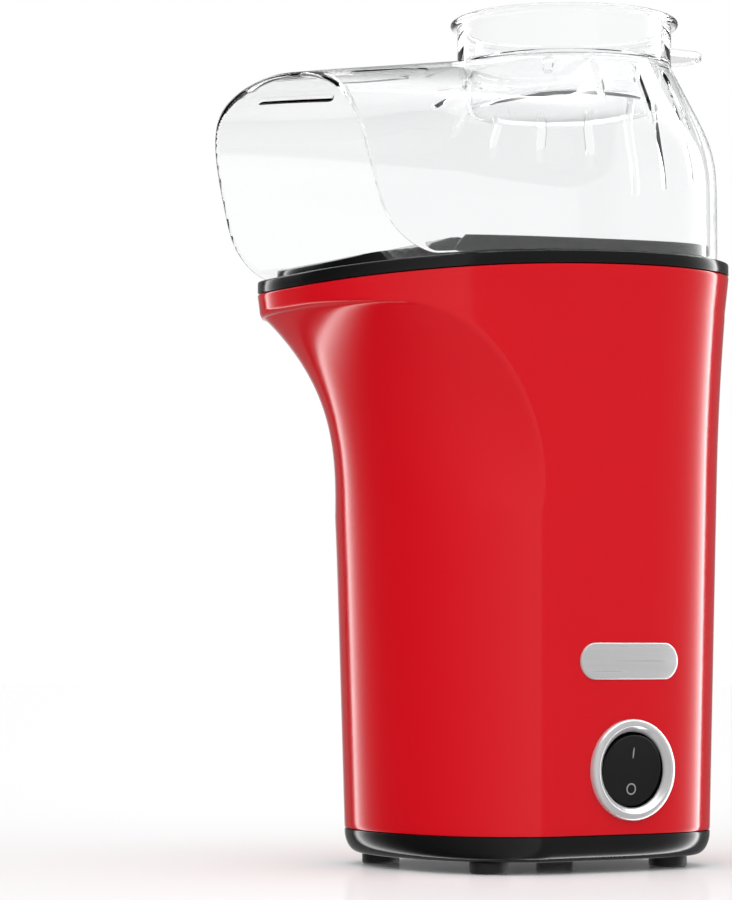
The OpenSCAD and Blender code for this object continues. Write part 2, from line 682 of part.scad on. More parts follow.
// Ring with a square section, for a notch round a coil
module tube_ring(r, half) {
    rotate_extrude() translate([r - half, -half]) square(2 * half);
}
module heater_coils() placed() color([0.55, 0.5, 0.46]) {
    translate([0, axis_y, coil_z]) for (i = [0:coil_count - 1], r = [27, 17])
        translate([0, 0, i * coil_pitch]) rotate_extrude() translate([r, 0]) circle(r = wire_r, $fn = 24);
}
module thermostat() placed() color([0.72, 0.68, 0.6]) {
    translate([-fan_case_r + 0.9, axis_y, 102]) rotate([0, -90, 0]) {
        cylinder(r = 8, h = 5);
        translate([0, 0, 5]) cylinder(r = 5.5, h = 2);
        for (s = [-1, 1]) translate([-0.4, s * 5 - 2.4, 5]) cube([0.8, 4.8, 7]);
    }
}
module thermal_fuse() placed() color([0.8, 0.78, 0.72]) {
    translate([fan_case_r + 1.4, axis_y, 96]) {
        cylinder(r = 1.8, h = 11, $fn = 32);
        translate([0, 0, -4]) cylinder(r = 0.5, h = 19, $fn = 24);
    }
}

// ---- fan and motor ----------------------------------------------------------------------

// Cup round the fan, with inlet openings in its floor and four ears on the housing's bosses
module fan_housing() placed() color([0.12, 0.12, 0.13]) {
    translate([0, axis_y, 0]) difference() {
        union() {
            translate([0, 0, fan_floor_z]) cylinder(r = fan_case_r, h = fan_top_z - fan_floor_z);
            for (b = frame_boss) let (p = b - [0, axis_y], a = atan2(p.y, p.x)) {
                translate([p.x, p.y, fan_top_z - 2.5]) cylinder(r = 4.2, h = 2.5, $fn = 32);
                rotate(a) translate([fan_case_r - 1, -3, fan_top_z - 2.5])
                    cube([norm(p) - fan_case_r + 1, 6, 2.5]);
            }
        }
        translate([0, 0, fan_floor_z + 2]) cylinder(r = fan_case_r - 2, h = 40);
        translate([0, 0, fan_floor_z - 1]) {
            cylinder(r = 4.2, h = 5, $fn = 32);
            for (a = [0, 180]) rotate(a) translate([8.5, 0, 0]) cylinder(r = 1.4, h = 5, $fn = 24);
            for (k = [0:5]) rotate(60 * k + 30) translate([21, 0, 0])
                linear_extrude(5) slot_2d(13, 9);
        }
        for (b = frame_boss) translate([b.x, b.y - axis_y, fan_top_z - 4])
            cylinder(r = screw_r + 0.2, h = 6, $fn = 24);
    }
}
module frame_screws() placed() color([0.75, 0.76, 0.78]) {
    for (b = frame_boss) translate([b.x, b.y, fan_top_z - 4.55]) screw(13);
}
module fan_impeller() placed() color([0.85, 0.85, 0.83]) {
    hub_z = 63;
    hub_h = 17;
    translate([0, axis_y, hub_z]) difference() {
        union() {
            cylinder(r = 7, h = hub_h);
            for (k = [0:blade_count - 1]) rotate(360 * k / blade_count)
                translate([5.5, 0, hub_h / 2]) rotate([38, 0, 0]) translate([0, -0.7, -9])
                    cube([fan_r - 6.2, 1.4, 18]);
        }
        translate([0, 0, -1]) cylinder(r = shaft_r + 0.01, h = hub_h + 2);
        for (z = [-10, hub_h]) translate([0, 0, z]) cylinder(r = fan_r + 2, h = 10);
    }
}
module motor_shaft() placed() color([0.8, 0.81, 0.83]) {
    translate([0, axis_y, 17]) cylinder(r = shaft_r, h = 64);
}
module armature_core() placed() color([0.45, 0.46, 0.48]) {
    translate([0, axis_y, 35]) difference() {
        cylinder(r = 10, h = 14);
        for (k = [0:2]) rotate(120 * k) translate([0, 7.4, -1]) {
            translate([-0.7, 0, 0]) cube([1.4, 4, 16]);
            translate([0, -1.4, 0]) cylinder(r = 2.6, h = 16, $fn = 24);
        }
        translate([0, 0, -1]) cylinder(r = shaft_r + 0.01, h = 16);
    }
}
module armature_windings() placed() color([0.72, 0.4, 0.2]) {
    translate([0, axis_y, 0]) for (z = [31.2, 49.05]) translate([0, 0, z]) tube(8, 2.4, 3.75);
}
module commutator() placed() color([0.75, 0.45, 0.25]) {
    translate([0, axis_y, 26.5]) difference() {
        cylinder(r = 3, h = 4.6);
        translate([0, 0, -1]) cylinder(r = shaft_r + 0.01, h = 7);
        for (k = [0:2]) rotate(120 * k) translate([2, -0.2, -1]) cube([2, 0.4, 7]);
    }
}
module motor_can() placed() color([0.7, 0.71, 0.73]) {
    translate([0, axis_y, can_z]) difference() {
        cylinder(r = motor_r, h = fan_floor_z - gap - can_z);
        translate([0, 0, -1]) cylinder(r = motor_r - 0.9, h = fan_floor_z - gap - can_z - 0.2);
        cylinder(r = 3.02, h = 50);
        for (a = [0, 180]) rotate(a) translate([8.5, 0, 0]) cylinder(r = 1.05, h = 50, $fn = 24);
    }
}
module motor_magnets() placed() color([0.25, 0.25, 0.27]) {
    translate([0, axis_y, 33]) for (a = [20, 200]) rotate(a)
        rotate_extrude(angle = 140) translate([10.6, 0]) square([motor_r - 11.6, 18]);
}
module motor_end_cap() placed() color([0.92, 0.9, 0.84]) {
    translate([0, axis_y, cap_z]) difference() {
        union() {
            cylinder(r = motor_r, h = can_z - cap_z - 0.05);
            translate([0, 0, -1.5]) cylinder(r = 5, h = 3);
        }
        translate([0, 0, -2]) cylinder(r = 3.02, h = 8);
        for (s = [-1, 1]) translate([s * 9, 0, -1]) cube([2.4, 1.2, 10], center = true);
    }
}
// Sintered bushes at both ends of the motor, a running fit on the shaft
module motor_bushings() placed() color([0.7, 0.55, 0.3]) {
    for (z = [cap_z - 1.2, fan_floor_z - 2.2]) translate([0, axis_y, z]) tube(3, shaft_r + 0.05, 3.6);
}
module motor_brushes() placed() color([0.3, 0.3, 0.32]) {
    for (s = [-1, 1]) translate([s * 6.05, axis_y, 28.7]) cube([5.8, 2.6, 2.6], center = true);
}
module motor_screws() placed() color([0.75, 0.76, 0.78]) {
    for (a = [0, 180]) translate([0, axis_y, fan_floor_z + 3.62]) rotate(a) translate([8.5, 0, 0])
        rotate([180, 0, 0]) screw(5.5, 1.03, 2.2, 1.6);
}

// ---- electrics --------------------------------------------------------------------------

module rectifier_board() placed() color([0.1, 0.4, 0.2]) {
    translate([0, board_y, board_z]) difference() {
        translate([-21, -12, 0]) cube([42, 24, 1.6]);
        for (s = [-1, 1]) translate([s * 16, 0, -1]) cylinder(r = 1.6, h = 4, $fn = 24);
    }
}
module diodes() placed() color([0.1, 0.1, 0.11]) {
    for (i = [0:3]) translate([-9, board_y - 7.5 + 4 * i, board_z + 3.1]) facing_x()
        cylinder(r = 1.4, h = 5.2, $fn = 24);
}
module filter_capacitor() placed() color([0.15, 0.2, 0.5]) {
    translate([7, board_y - 3, board_z + 1.65]) cylinder(r = 4, h = 11, $fn = 48);
}
module supply_leads() placed() color([0.5, 0.32, 0.2]) {
    lead([[2, 53, 30], [10, 49.5, 31], [24, 41, 33], [27, 28, 34], [17.9, 20, 34], [17.9, 12.3, 33.5]]);
    lead([[17.9, 2.3, 33.5], [17, -8, 30], [12, -16, 22], [11, -19, 14.9]]);
    lead([[-2, 53, 30], [-16, 47, 26], [-28, 26, 22], [-27, -6, 20], [-14, -20, 18], [-14, -22, 14.8]]);
}
module motor_leads() placed() color([0.8, 0.15, 0.12]) {
    for (s = [-1, 1]) lead([[s * 4, -18, 14.8], [s * 5, -14, 17], [s * 9, 0, 17], [s * 9, 12, 16.5],
                            [s * 9, 19, 18.5], [s * 9, 19, 21.9]]);
}
module heater_leads() placed() color([0.9, 0.9, 0.88]) {
    lead([[18, -22, 14.9], [22, -20, 24], [30, -16, 50], [37, -13, 78], [38, -8, 92],
          [37.5, 7, 93], [38.4, 15, 91], [37.6, 19, 90.6]]);
    lead([[-18, -24, 14.9], [-24, -24, 30], [-36, -18, 60], [-41, -14, 84], [-44, -7, 100],
          [-47, 4, 106], [-48.3, 10, 103.5], [-48.4, 14, 102]]);
}

housing();
base_cover();
rubber_feet();
base_screws();
top_ring();
hood();
measuring_cup();
switch_bezel();
switch_body();
switch_terminals();
rocker_button();
badge();
cord_gland();
popping_chamber();
chamber_clamp();
chamber_screws();
heater_duct();
mica_frame();
heater_coils();
thermostat();
thermal_fuse();
fan_housing();
frame_screws();
fan_impeller();
motor_shaft();
armature_core();
armature_windings();
commutator();
motor_can();
motor_magnets();
motor_end_cap();
motor_bushings();
motor_brushes();
motor_screws();
rectifier_board();
diodes();
filter_capacitor();
supply_leads();
motor_leads();
heater_leads();
ring_screws();
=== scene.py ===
"""Looks of the hot-air popcorn maker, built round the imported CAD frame.

Shapes are worked out in millimetres about the base's centre and moved into the frame by place().
"""

import json
import math

import bmesh
import bpy
import numpy as np
from mathutils import Matrix, Vector


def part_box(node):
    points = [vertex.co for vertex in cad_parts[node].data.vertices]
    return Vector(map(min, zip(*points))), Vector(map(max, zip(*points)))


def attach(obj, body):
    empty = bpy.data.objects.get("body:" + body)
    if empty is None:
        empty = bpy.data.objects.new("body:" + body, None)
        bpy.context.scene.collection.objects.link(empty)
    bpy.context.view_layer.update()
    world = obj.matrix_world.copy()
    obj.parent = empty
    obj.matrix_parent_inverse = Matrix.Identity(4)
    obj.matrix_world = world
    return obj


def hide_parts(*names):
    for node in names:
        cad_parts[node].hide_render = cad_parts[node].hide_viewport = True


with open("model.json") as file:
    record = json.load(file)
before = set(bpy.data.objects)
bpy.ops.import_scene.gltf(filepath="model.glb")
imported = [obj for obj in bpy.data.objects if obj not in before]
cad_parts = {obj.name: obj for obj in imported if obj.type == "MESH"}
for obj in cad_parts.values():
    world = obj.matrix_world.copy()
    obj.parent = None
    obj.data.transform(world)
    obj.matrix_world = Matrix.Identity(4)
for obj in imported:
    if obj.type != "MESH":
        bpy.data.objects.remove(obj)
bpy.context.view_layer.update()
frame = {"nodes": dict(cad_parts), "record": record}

MM = 0.001
chamber_low, chamber_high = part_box("popping_chamber")
AXIS_Y = 19.0
SHIFT_Y = (chamber_low[1] + chamber_high[1]) / 2 - AXIS_Y * MM

# ---- the body's shape, in millimetres about the base's centre -----------------------------

WALL = 2.4
FOOT_Z = 12.4
FLOOR_Z = 4.0
LIP_Z = 184.5
RING_Z = 199.7
RING_H = 4.3
RING_BEND = 0.00056
RING_LEVEL_Y = 30.0
BODY_HALF_W = 54.0
BACK_REACH = 59.2
FRONT_REACH = 55.2
FRONT_DRAFT = 0.04
LIP_REACH = 87.6
BACK_POWER = 3.0
LIP_POWER = 2.93
CREST_START_Z = 118.0
CREST_LOW_Y = -26.0
CREST_LIP_Y = -79.0
SCOOP_START_Z = 60.0
SCOOP_POWER = 5.8
LIP_UNDERCUT = 3.0

# The switch, badge, gland, hood and cup
SWITCH_Y, SWITCH_Z = 7.3, 33.5
HOLE_R = 14.45
ROCKER_R, ROCKER_TILT = 11.8, 7.0
BADGE_Y, BADGE_Z, BADGE_L, BADGE_H = 6.5, 69.0, 40.0, 12.0
GLAND_Z, GLAND_R = 30.0, 6.1
HOOD_STEP, HOOD_WALL, HOOD_TOP_Z, HOOD_GAP = 3.4, 2.0, 273.0, 0.3
HOOD_RIM_R, SPOUT_REACH = 37.0, 142.0
FRONT_DROOP, SIDE_DROOP = 0.212, 0.45
HOOD_BEAD = 1.1
UPSTAND_INSET, UPSTAND_W, UPSTAND_Z, UPSTAND_SLOPE = 6.5, 2.1, 208.1, 0.03
UPSTAND_FOOT_Y, UPSTAND_FRONT_Y = -60.0, -54.5
CHUTE_HALF_W, CHUTE_Z = 34.0, 208.0
CUP_R, CUP_LOW_R, CUP_RIM_R, CUP_WALL = 37.0, 34.0, 39.4, 1.6
CUP_TOP_Z, CUP_FLOOR_Z = 290.0, 259.0


def growth(z):
    return 0.0035 * (z - FOOT_Z) + 0.00007 * max(0.0, z - 130.0) ** 2


def half_w(z):
    return BODY_HALF_W + 4.0 * growth(z)


def back_r(z):
    return BACK_REACH + 8.4 * growth(z)


def lip_r(z):
    return LIP_REACH + 3.0 * growth(z)


def skin_x(y, z):
    """Half width of the smooth side skin at a place along Y."""
    reach, power = (back_r(z), BACK_POWER) if y >= 0 else (lip_r(z), LIP_POWER)
    return half_w(z) * max(0.0, 1.0 - (abs(y) / reach) ** power) ** (1.0 / power)


def crest_share(z):
    return min(1.0, max(0.0, (z - CREST_START_Z) / (LIP_Z - CREST_START_Z)))


def crest_y(z):
    return CREST_LOW_Y + (CREST_LIP_Y - CREST_LOW_Y) * (1.0 - math.sqrt(1.0 - crest_share(z) ** 2))


def front_y(z):
    face = FRONT_REACH + FRONT_DRAFT * (z - FOOT_Z)
    share = min(1.0, max(0.0, (z - SCOOP_START_Z) / (LIP_Z - SCOOP_START_Z)))
    return face + (lip_r(z) - LIP_UNDERCUT - face) * share**SCOOP_POWER


def superellipse(a, b, power, angles):
    return np.stack([a * np.cos(angles) ** (2 / power), b * np.sin(angles) ** (2 / power)], 1)


def resample(points, count):
    """The same curve with points at even distances along it."""
    steps = np.r_[0.0, np.cumsum(np.linalg.norm(np.diff(points, axis=0), axis=1))]
    at = np.linspace(0.0, steps[-1], count)
    return np.stack([np.interp(at, steps, points[:, k]) for k in range(points.shape[1])], 1)


SIDE_COLUMNS, FRONT_COLUMNS = 100, 56


def half_outline(z, lip=False):
    """From the middle of the back round the side to the crest, and on to the middle of the front."""
    turn = np.linspace(math.pi / 2, 0.0, 400)
    back = superellipse(half_w(z), back_r(z), BACK_POWER, turn)
    y_end = CREST_LIP_Y if lip else crest_y(z)
    side = np.array([(skin_x(y, z), y) for y in np.linspace(0.0, y_end, 200)[1:]])
    first = resample(np.concatenate([back, side]), SIDE_COLUMNS)
    if lip:
        start = math.asin((-CREST_LIP_Y / lip_r(z)) ** (LIP_POWER / 2))
        turn = np.linspace(start, math.pi / 2, 300)
        front = superellipse(half_w(z), -lip_r(z), LIP_POWER, turn)
    else:
        x = skin_x(y_end, z)
        lean = math.atan((x - skin_x(y_end - 0.05, z)) / 0.05)
        lean += math.radians(12.0 + 22.0 * math.sin(math.pi * crest_share(z)))
        reach = front_y(z)
        pull = min(0.62 * (reach - abs(y_end)) / math.cos(lean), 0.9 * x / max(math.sin(lean), 0.05))
        corners = np.array(
            [(x, y_end), (x - pull * math.sin(lean), y_end - pull * math.cos(lean)),
             (0.62 * x, -reach), (0.0, -reach)]
        )
        t = np.linspace(0.0, 1.0, 300)[:, None]
        weights = [(1 - t) ** 3, 3 * t * (1 - t) ** 2, 3 * t * t * (1 - t), t**3]
        front = sum(w * c for w, c in zip(weights, corners))
    return np.concatenate([first, resample(front, FRONT_COLUMNS)[1:]])


def mirrored(half):
    left = half[1:-1][::-1] * np.array([-1.0, 1.0])
    return np.concatenate([half, left])


def softened(loop, rounds):
    """Rounds the crest of a closed outline by averaging neighbours."""
    for _ in range(rounds):
        loop = 0.5 * loop + 0.25 * (np.roll(loop, 1, 0) + np.roll(loop, -1, 0))
    return loop


def inset(loop, t):
    """A closed clockwise outline moved inwards by t."""
    along = np.roll(loop, -1, 0) - np.roll(loop, 1, 0)
    inward = np.stack([along[:, 1], -along[:, 0]], 1)
    return loop + t * inward / np.linalg.norm(inward, axis=1)[:, None]


def outline(z):
    return softened(mirrored(half_outline(z)), 3)


def lip_outline(z):
    return mirrored(half_outline(z, lip=True))


def at_z(loop, z):
    return np.c_[loop, np.full(len(loop), float(z))]


def ring_drop(y):
    """The ring is level at the back and bends down towards the spout."""
    return -RING_BEND * np.maximum(0.0, RING_LEVEL_Y - y) ** 2


def on_ring(loop, z):
    """An outline laid on the ring's bent plane, which is z high at the back."""
    return np.c_[loop, z + ring_drop(loop[:, 1])]


def place(points):
    return np.asarray(points, float) * MM + np.array([0.0, SHIFT_Y, 0.0])


# ---- mesh helpers -------------------------------------------------------------------------


def make_object(name, verts, faces, mat, angle=30.0):
    mesh = bpy.data.meshes.new(name)
    mesh.from_pydata([tuple(v) for v in place(verts)], [], faces)
    bm = bmesh.new()
    bm.from_mesh(mesh)
    bmesh.ops.recalc_face_normals(bm, faces=bm.faces)
    bm.to_mesh(mesh)
    bm.free()
    obj = bpy.data.objects.new(name, mesh)
    bpy.context.scene.collection.objects.link(obj)
    mesh.materials.append(mat)
    smooth(obj, angle)
    return obj


def smooth(obj, angle=30.0):
    obj.data.shade_smooth()
    obj.data.set_sharp_from_angle(angle=math.radians(angle))


def loft_faces(m, n, wrap=False):
    rows = m if wrap else m - 1
    return [
        (i * n + j, i * n + (j + 1) % n, ((i + 1) % m) * n + (j + 1) % n, ((i + 1) % m) * n + j)
        for i in range(rows)
        for j in range(n)
    ]


def loft(name, rings, mat, wrap=False, angle=30.0):
    """Surface through rings of equal length: a closed tube with wrap, or with its ends capped."""
    m, n = len(rings), len(rings[0])
    faces = loft_faces(m, n, wrap)
    if not wrap:
        faces += [tuple(range(n)), tuple(range((m - 1) * n, m * n))]
    return make_object(name, np.concatenate(rings), faces, mat, angle)


def lathe(name, profile, mat, steps=128, axis="z", centre=(0, 0, 0), angle=30.0, wrap=True):
    """Profile points are (radius, height along the axis)."""
    turn = np.linspace(0.0, 2 * math.pi, steps, endpoint=False)
    rings = []
    for r, h in profile:
        ring = np.c_[r * np.cos(turn), r * np.sin(turn), np.full(steps, h)]
        if axis == "x":
            ring = ring[:, [2, 0, 1]]
        if axis == "y":
            ring = ring[:, [0, 2, 1]]
        rings.append(ring + np.array(centre))
    return loft(name, rings, mat, wrap=wrap, angle=angle)


def arc(cx, cy, r, start, end, steps=6):
    """Points (x, y) along an arc, for a lathe's or a loft's profile."""
    return [
        (cx + r * math.cos(math.radians(a)), cy + r * math.sin(math.radians(a)))
        for a in np.linspace(start, end, steps)
    ]


def stadium(length, width, steps=16):
    half = (length - width) / 2
    return arc(half, 0, width / 2, -90, 90, steps) + arc(-half, 0, width / 2, 90, 270, steps)


def prism(points, low, high, matrix):
    """A closed prism over a 2-D outline, for cutting; matrix places it, in millimetres."""
    n = len(points)
    verts = [matrix @ Vector((x, y, h)) for h in (low, high) for x, y in points]
    faces = [(j, (j + 1) % n, n + (j + 1) % n, n + j) for j in range(n)]
    faces += [tuple(range(n))[::-1], tuple(range(n, 2 * n))]
    return [tuple(v) for v in verts], faces


def cut(obj, prisms, angle=30.0):
    """Takes a set of separate prisms out of a piece."""
    verts, faces = [], []
    for v, f in prisms:
        faces += [tuple(i + len(verts) for i in face) for face in f]
        verts += v
    tool = make_object("cutter", verts, faces, obj.data.materials[0])
    step = obj.modifiers.new("cut", "BOOLEAN")
    step.operation, step.object, step.solver = "DIFFERENCE", tool, "EXACT"
    mesh = bpy.data.meshes.new_from_object(obj.evaluated_get(bpy.context.evaluated_depsgraph_get()))
    obj.modifiers.clear()
    obj.data = mesh
    bpy.data.objects.remove(tool)
    smooth(obj, angle)
    return obj


def join(name, parts):
    """One object from several, keeping their materials."""
    bpy.ops.object.select_all(action="DESELECT")
    for p in parts:
        p.select_set(True)
    bpy.context.view_layer.objects.active = parts[0]
    bpy.ops.object.join()
    parts[0].name = name
    return parts[0]


# ---- materials ----------------------------------------------------------------------------


class Paint:
    """A Principled material with its node tree at hand."""

    def __init__(self, name, color, rough, metallic=0.0, **sockets):
        self.mat = bpy.data.materials.new(name)
        self.mat.use_nodes = True
        self.nodes = self.mat.node_tree.nodes
        self.links = self.mat.node_tree.links
        self.shader = self.nodes["Principled BSDF"]
        self.shader.inputs["Base Color"].default_value = (*color, 1.0)
        self.shader.inputs["Roughness"].default_value = rough
        self.shader.inputs["Metallic"].default_value = metallic
        for key, value in sockets.items():
            self.shader.inputs[key.replace("_", " ")].default_value = value
        self.color, self.rough = color, rough
        self.coords = self.nodes.new("ShaderNodeTexCoord")
        self.height = None

    def noise(self, scale, detail=3.0, stretch=(1, 1, 1)):
        mapping = self.nodes.new("ShaderNodeMapping")
        mapping.inputs["Scale"].default_value = stretch
        self.links.new(self.coords.outputs["Object"], mapping.inputs["Vector"])
        tex = self.nodes.new("ShaderNodeTexNoise")
        tex.inputs["Scale"].default_value = scale
        tex.inputs["Detail"].default_value = detail
        self.links.new(mapping.outputs["Vector"], tex.inputs["Vector"])
        return tex.outputs["Fac"]

    def ranged(self, fac, low, high):
        node = self.nodes.new("ShaderNodeMapRange")
        node.inputs["To Min"].default_value = low
        node.inputs["To Max"].default_value = high
        self.links.new(fac, node.inputs["Value"])
        return node.outputs["Result"]

    def vary_rough(self, scale, spread, stretch=(1, 1, 1)):
        fac = self.noise(scale, 4.0, stretch)
        rough = self.ranged(fac, self.rough - spread, self.rough + spread)
        self.links.new(rough, self.shader.inputs["Roughness"])
        return self

    def vary_color(self, scale, amount, stretch=(1, 1, 1)):
        fac = self.noise(scale, 3.0, stretch)
        mix = self.nodes.new("ShaderNodeMix")
        mix.data_type = "RGBA"
        mix.inputs[6].default_value = (*[c * (1 - amount) for c in self.color], 1.0)
        mix.inputs[7].default_value = (*[min(1.0, c * (1 + amount)) for c in self.color], 1.0)
        self.links.new(fac, mix.inputs[0])
        self.links.new(mix.outputs[2], self.shader.inputs["Base Color"])
        return self

    def bump(self, scale, distance, strength=1.0, detail=2.0, stretch=(1, 1, 1)):
        """distance is in millimetres."""
        node = self.nodes.new("ShaderNodeBump")
        node.inputs["Strength"].default_value = strength
        node.inputs["Distance"].default_value = distance * MM
        self.links.new(self.noise(scale, detail, stretch), node.inputs["Height"])
        if self.height:
            self.links.new(self.height, node.inputs["Normal"])
        self.height = node.outputs["Normal"]
        self.links.new(self.height, self.shader.inputs["Normal"])
        return self


def gloss_red():
    p = Paint("red_plastic", (0.62, 0.0022, 0.009), 0.13)
    return p.vary_color(18, 0.02).vary_rough(60, 0.02).bump(45, 0.015, 0.4).bump(900, 0.003, 0.25).mat


def gloss_black():
    p = Paint("black_gloss", (0.005, 0.005, 0.0055), 0.15)
    return p.vary_rough(70, 0.03).bump(60, 0.015, 0.5).bump(900, 0.004, 0.3).mat


def clear_plastic(name, tint):
    p = Paint(name, tint, 0.012, IOR=1.2, Transmission_Weight=1.0, Coat_Weight=1.0, Coat_Roughness=0.02)
    return p.vary_rough(30, 0.008).bump(14, 0.03, 0.25).mat


def rubber():
    p = Paint("foot_rubber", (0.018, 0.018, 0.018), 0.62)
    return p.vary_color(80, 0.2).vary_rough(200, 0.08).bump(1400, 0.03, 0.5).mat


def satin_chrome():
    p = Paint("satin_chrome", (0.80, 0.80, 0.81), 0.2, 0.55)
    return p.vary_rough(240, 0.03).bump(700, 0.002, 0.3).mat


def switch_black():
    p = Paint("switch_black", (0.006, 0.006, 0.0065), 0.3)
    return p.vary_rough(200, 0.04).bump(1500, 0.006, 0.4).mat


def switch_mark():
    p = Paint("switch_mark", (0.3, 0.3, 0.31), 0.45)
    return p.vary_rough(300, 0.05).bump(1500, 0.004, 0.4).mat


def brushed_badge():
    p = Paint("brushed_badge", (0.72, 0.72, 0.73), 0.3, 0.5, Anisotropic=0.4)
    p.vary_color(140, 0.12, (1, 0.04, 3.0)).vary_rough(160, 0.08, (1, 0.04, 3.0))
    return p.bump(300, 0.01, 0.5, 2.0, (1, 0.03, 3.0)).mat


def plain(name, color, rough, metallic=0.0, grain=500, depth=0.01, spread=0.05, tone=0.06):
    p = Paint(name, color, rough, metallic)
    return p.vary_color(grain * 0.2, tone).vary_rough(grain * 0.4, spread).bump(grain, depth, 0.4).mat


SLOT_MATERIALS = {
    "red_plastic": gloss_red(),
    "black_gloss": gloss_black(),
    "foot_rubber": rubber(),
    "zinc_steel": plain("zinc_steel", (0.6, 0.61, 0.62), 0.3, 1.0),
    "clear_plastic": clear_plastic("clear_plastic", (0.985, 0.99, 0.992)),
    "clear_cup": clear_plastic("clear_cup", (0.985, 0.99, 0.992)),
    "satin_chrome": satin_chrome(),
    "switch_black": switch_black(),
    "brass_contacts": plain("brass_contacts", (0.75, 0.55, 0.22), 0.3, 1.0),
    "brushed_badge": brushed_badge(),
    "chamber_aluminium": plain("chamber_aluminium", (0.76, 0.77, 0.78), 0.3, 1.0, 300, 0.02),
    "duct_steel": plain("duct_steel", (0.55, 0.56, 0.57), 0.35, 1.0),
    "mica": plain("mica", (0.6, 0.52, 0.38), 0.5, 0.0, 200, 0.03, 0.08, 0.15),
    "coil_wire": plain("coil_wire", (0.3, 0.26, 0.23), 0.42, 1.0),
    "ceramic": plain("ceramic", (0.75, 0.71, 0.62), 0.4),
    "fan_black": plain("fan_black", (0.02, 0.02, 0.022), 0.5),
    "fan_white": plain("fan_white", (0.75, 0.75, 0.72), 0.45),
    "shaft_steel": plain("shaft_steel", (0.66, 0.67, 0.68), 0.2, 1.0),
    "laminated_iron": plain("laminated_iron", (0.2, 0.2, 0.21), 0.5, 1.0, 800, 0.03),
    "copper": plain("copper", (0.65, 0.3, 0.13), 0.32, 1.0, 900, 0.03),
    "can_steel": plain("can_steel", (0.6, 0.61, 0.63), 0.28, 1.0),
    "ferrite": plain("ferrite", (0.05, 0.05, 0.055), 0.6),
    "cap_nylon": plain("cap_nylon", (0.8, 0.77, 0.68), 0.5),
    "bronze": plain("bronze", (0.5, 0.34, 0.14), 0.45, 1.0),
    "carbon": plain("carbon", (0.03, 0.03, 0.032), 0.55),
    "board_green": plain("board_green", (0.02, 0.16, 0.06), 0.4),
    "epoxy_black": plain("epoxy_black", (0.02, 0.02, 0.02), 0.4),
    "capacitor_blue": plain("capacitor_blue", (0.02, 0.05, 0.25), 0.3),
    "lead_brown": plain("lead_brown", (0.14, 0.06, 0.03), 0.5),
    "lead_red": plain("lead_red", (0.45, 0.02, 0.02), 0.5),
    "lead_white": plain("lead_white", (0.8, 0.8, 0.78), 0.5),
}


def finish_piece(obj, body, slot, *nodes):
    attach(obj, body)
    if nodes:
        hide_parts(*nodes)
    return obj


# ---- casing -------------------------------------------------------------------------------


def hole_cut(outer, inner, inside, snap):
    """Opens a round hole through both skins of a grid: leaves out its cells and snaps its edge."""
    rows, cols = outer.shape[:2]
    centre = (outer[:-1] + outer[1:]) / 2
    centre = (centre + np.roll(centre, -1, 1)) / 2
    gone = inside(centre)
    near = np.zeros((rows + 1, cols), bool)
    near[1:-1] = gone[:, :]
    touched = near[:-1] | near[1:]
    touched |= np.roll(touched, 1, 1)
    all_gone = near[:-1] & near[1:]
    all_gone &= np.roll(all_gone, 1, 1)
    for i, j in zip(*np.nonzero(touched & ~all_gone)):
        snap(outer, inner, i, j)
    return gone


def body_rows():
    """Outlines of the red housing from the foot to just under the ring, closest where it curves."""
    rows = [at_z(inset(outline(FOOT_Z), t), FOOT_Z + h) for t, h in ((0.5, 0.0), (0.14, 0.15), (0.0, 0.5))]
    heights = list(np.arange(14.2, 52.5, 1.3)) + list(np.arange(56.0, 112.0, 5.0))
    rise = [CREST_START_Z + (LIP_Z - CREST_START_Z) * math.sin(a) for a in np.linspace(-0.06, 1.5707, 52)]
    rows += [at_z(outline(z), z) for z in heights + rise]
    # The lip's lower edge rolls out from the hollow to the upright band
    low, full = outline(LIP_Z), lip_outline(LIP_Z)
    for a in np.linspace(0.0, math.pi / 2, 8)[1:]:
        share = math.sin(a)
        rows.append(at_z((1 - share) * low + share * full, LIP_Z + 2.2 * (1 - math.cos(a))))
    ring = lip_outline(RING_Z)
    for share in (0.25, 0.5, 0.75):
        upper = on_ring(ring, RING_Z - 0.6)
        rows.append((1 - share) * rows[-1] + share * upper)
    for t, drop in ((0.0, 0.6), (0.14, 0.25), (0.5, 0.1)):
        rows.append(on_ring(inset(ring, t), RING_Z - drop))
    return rows


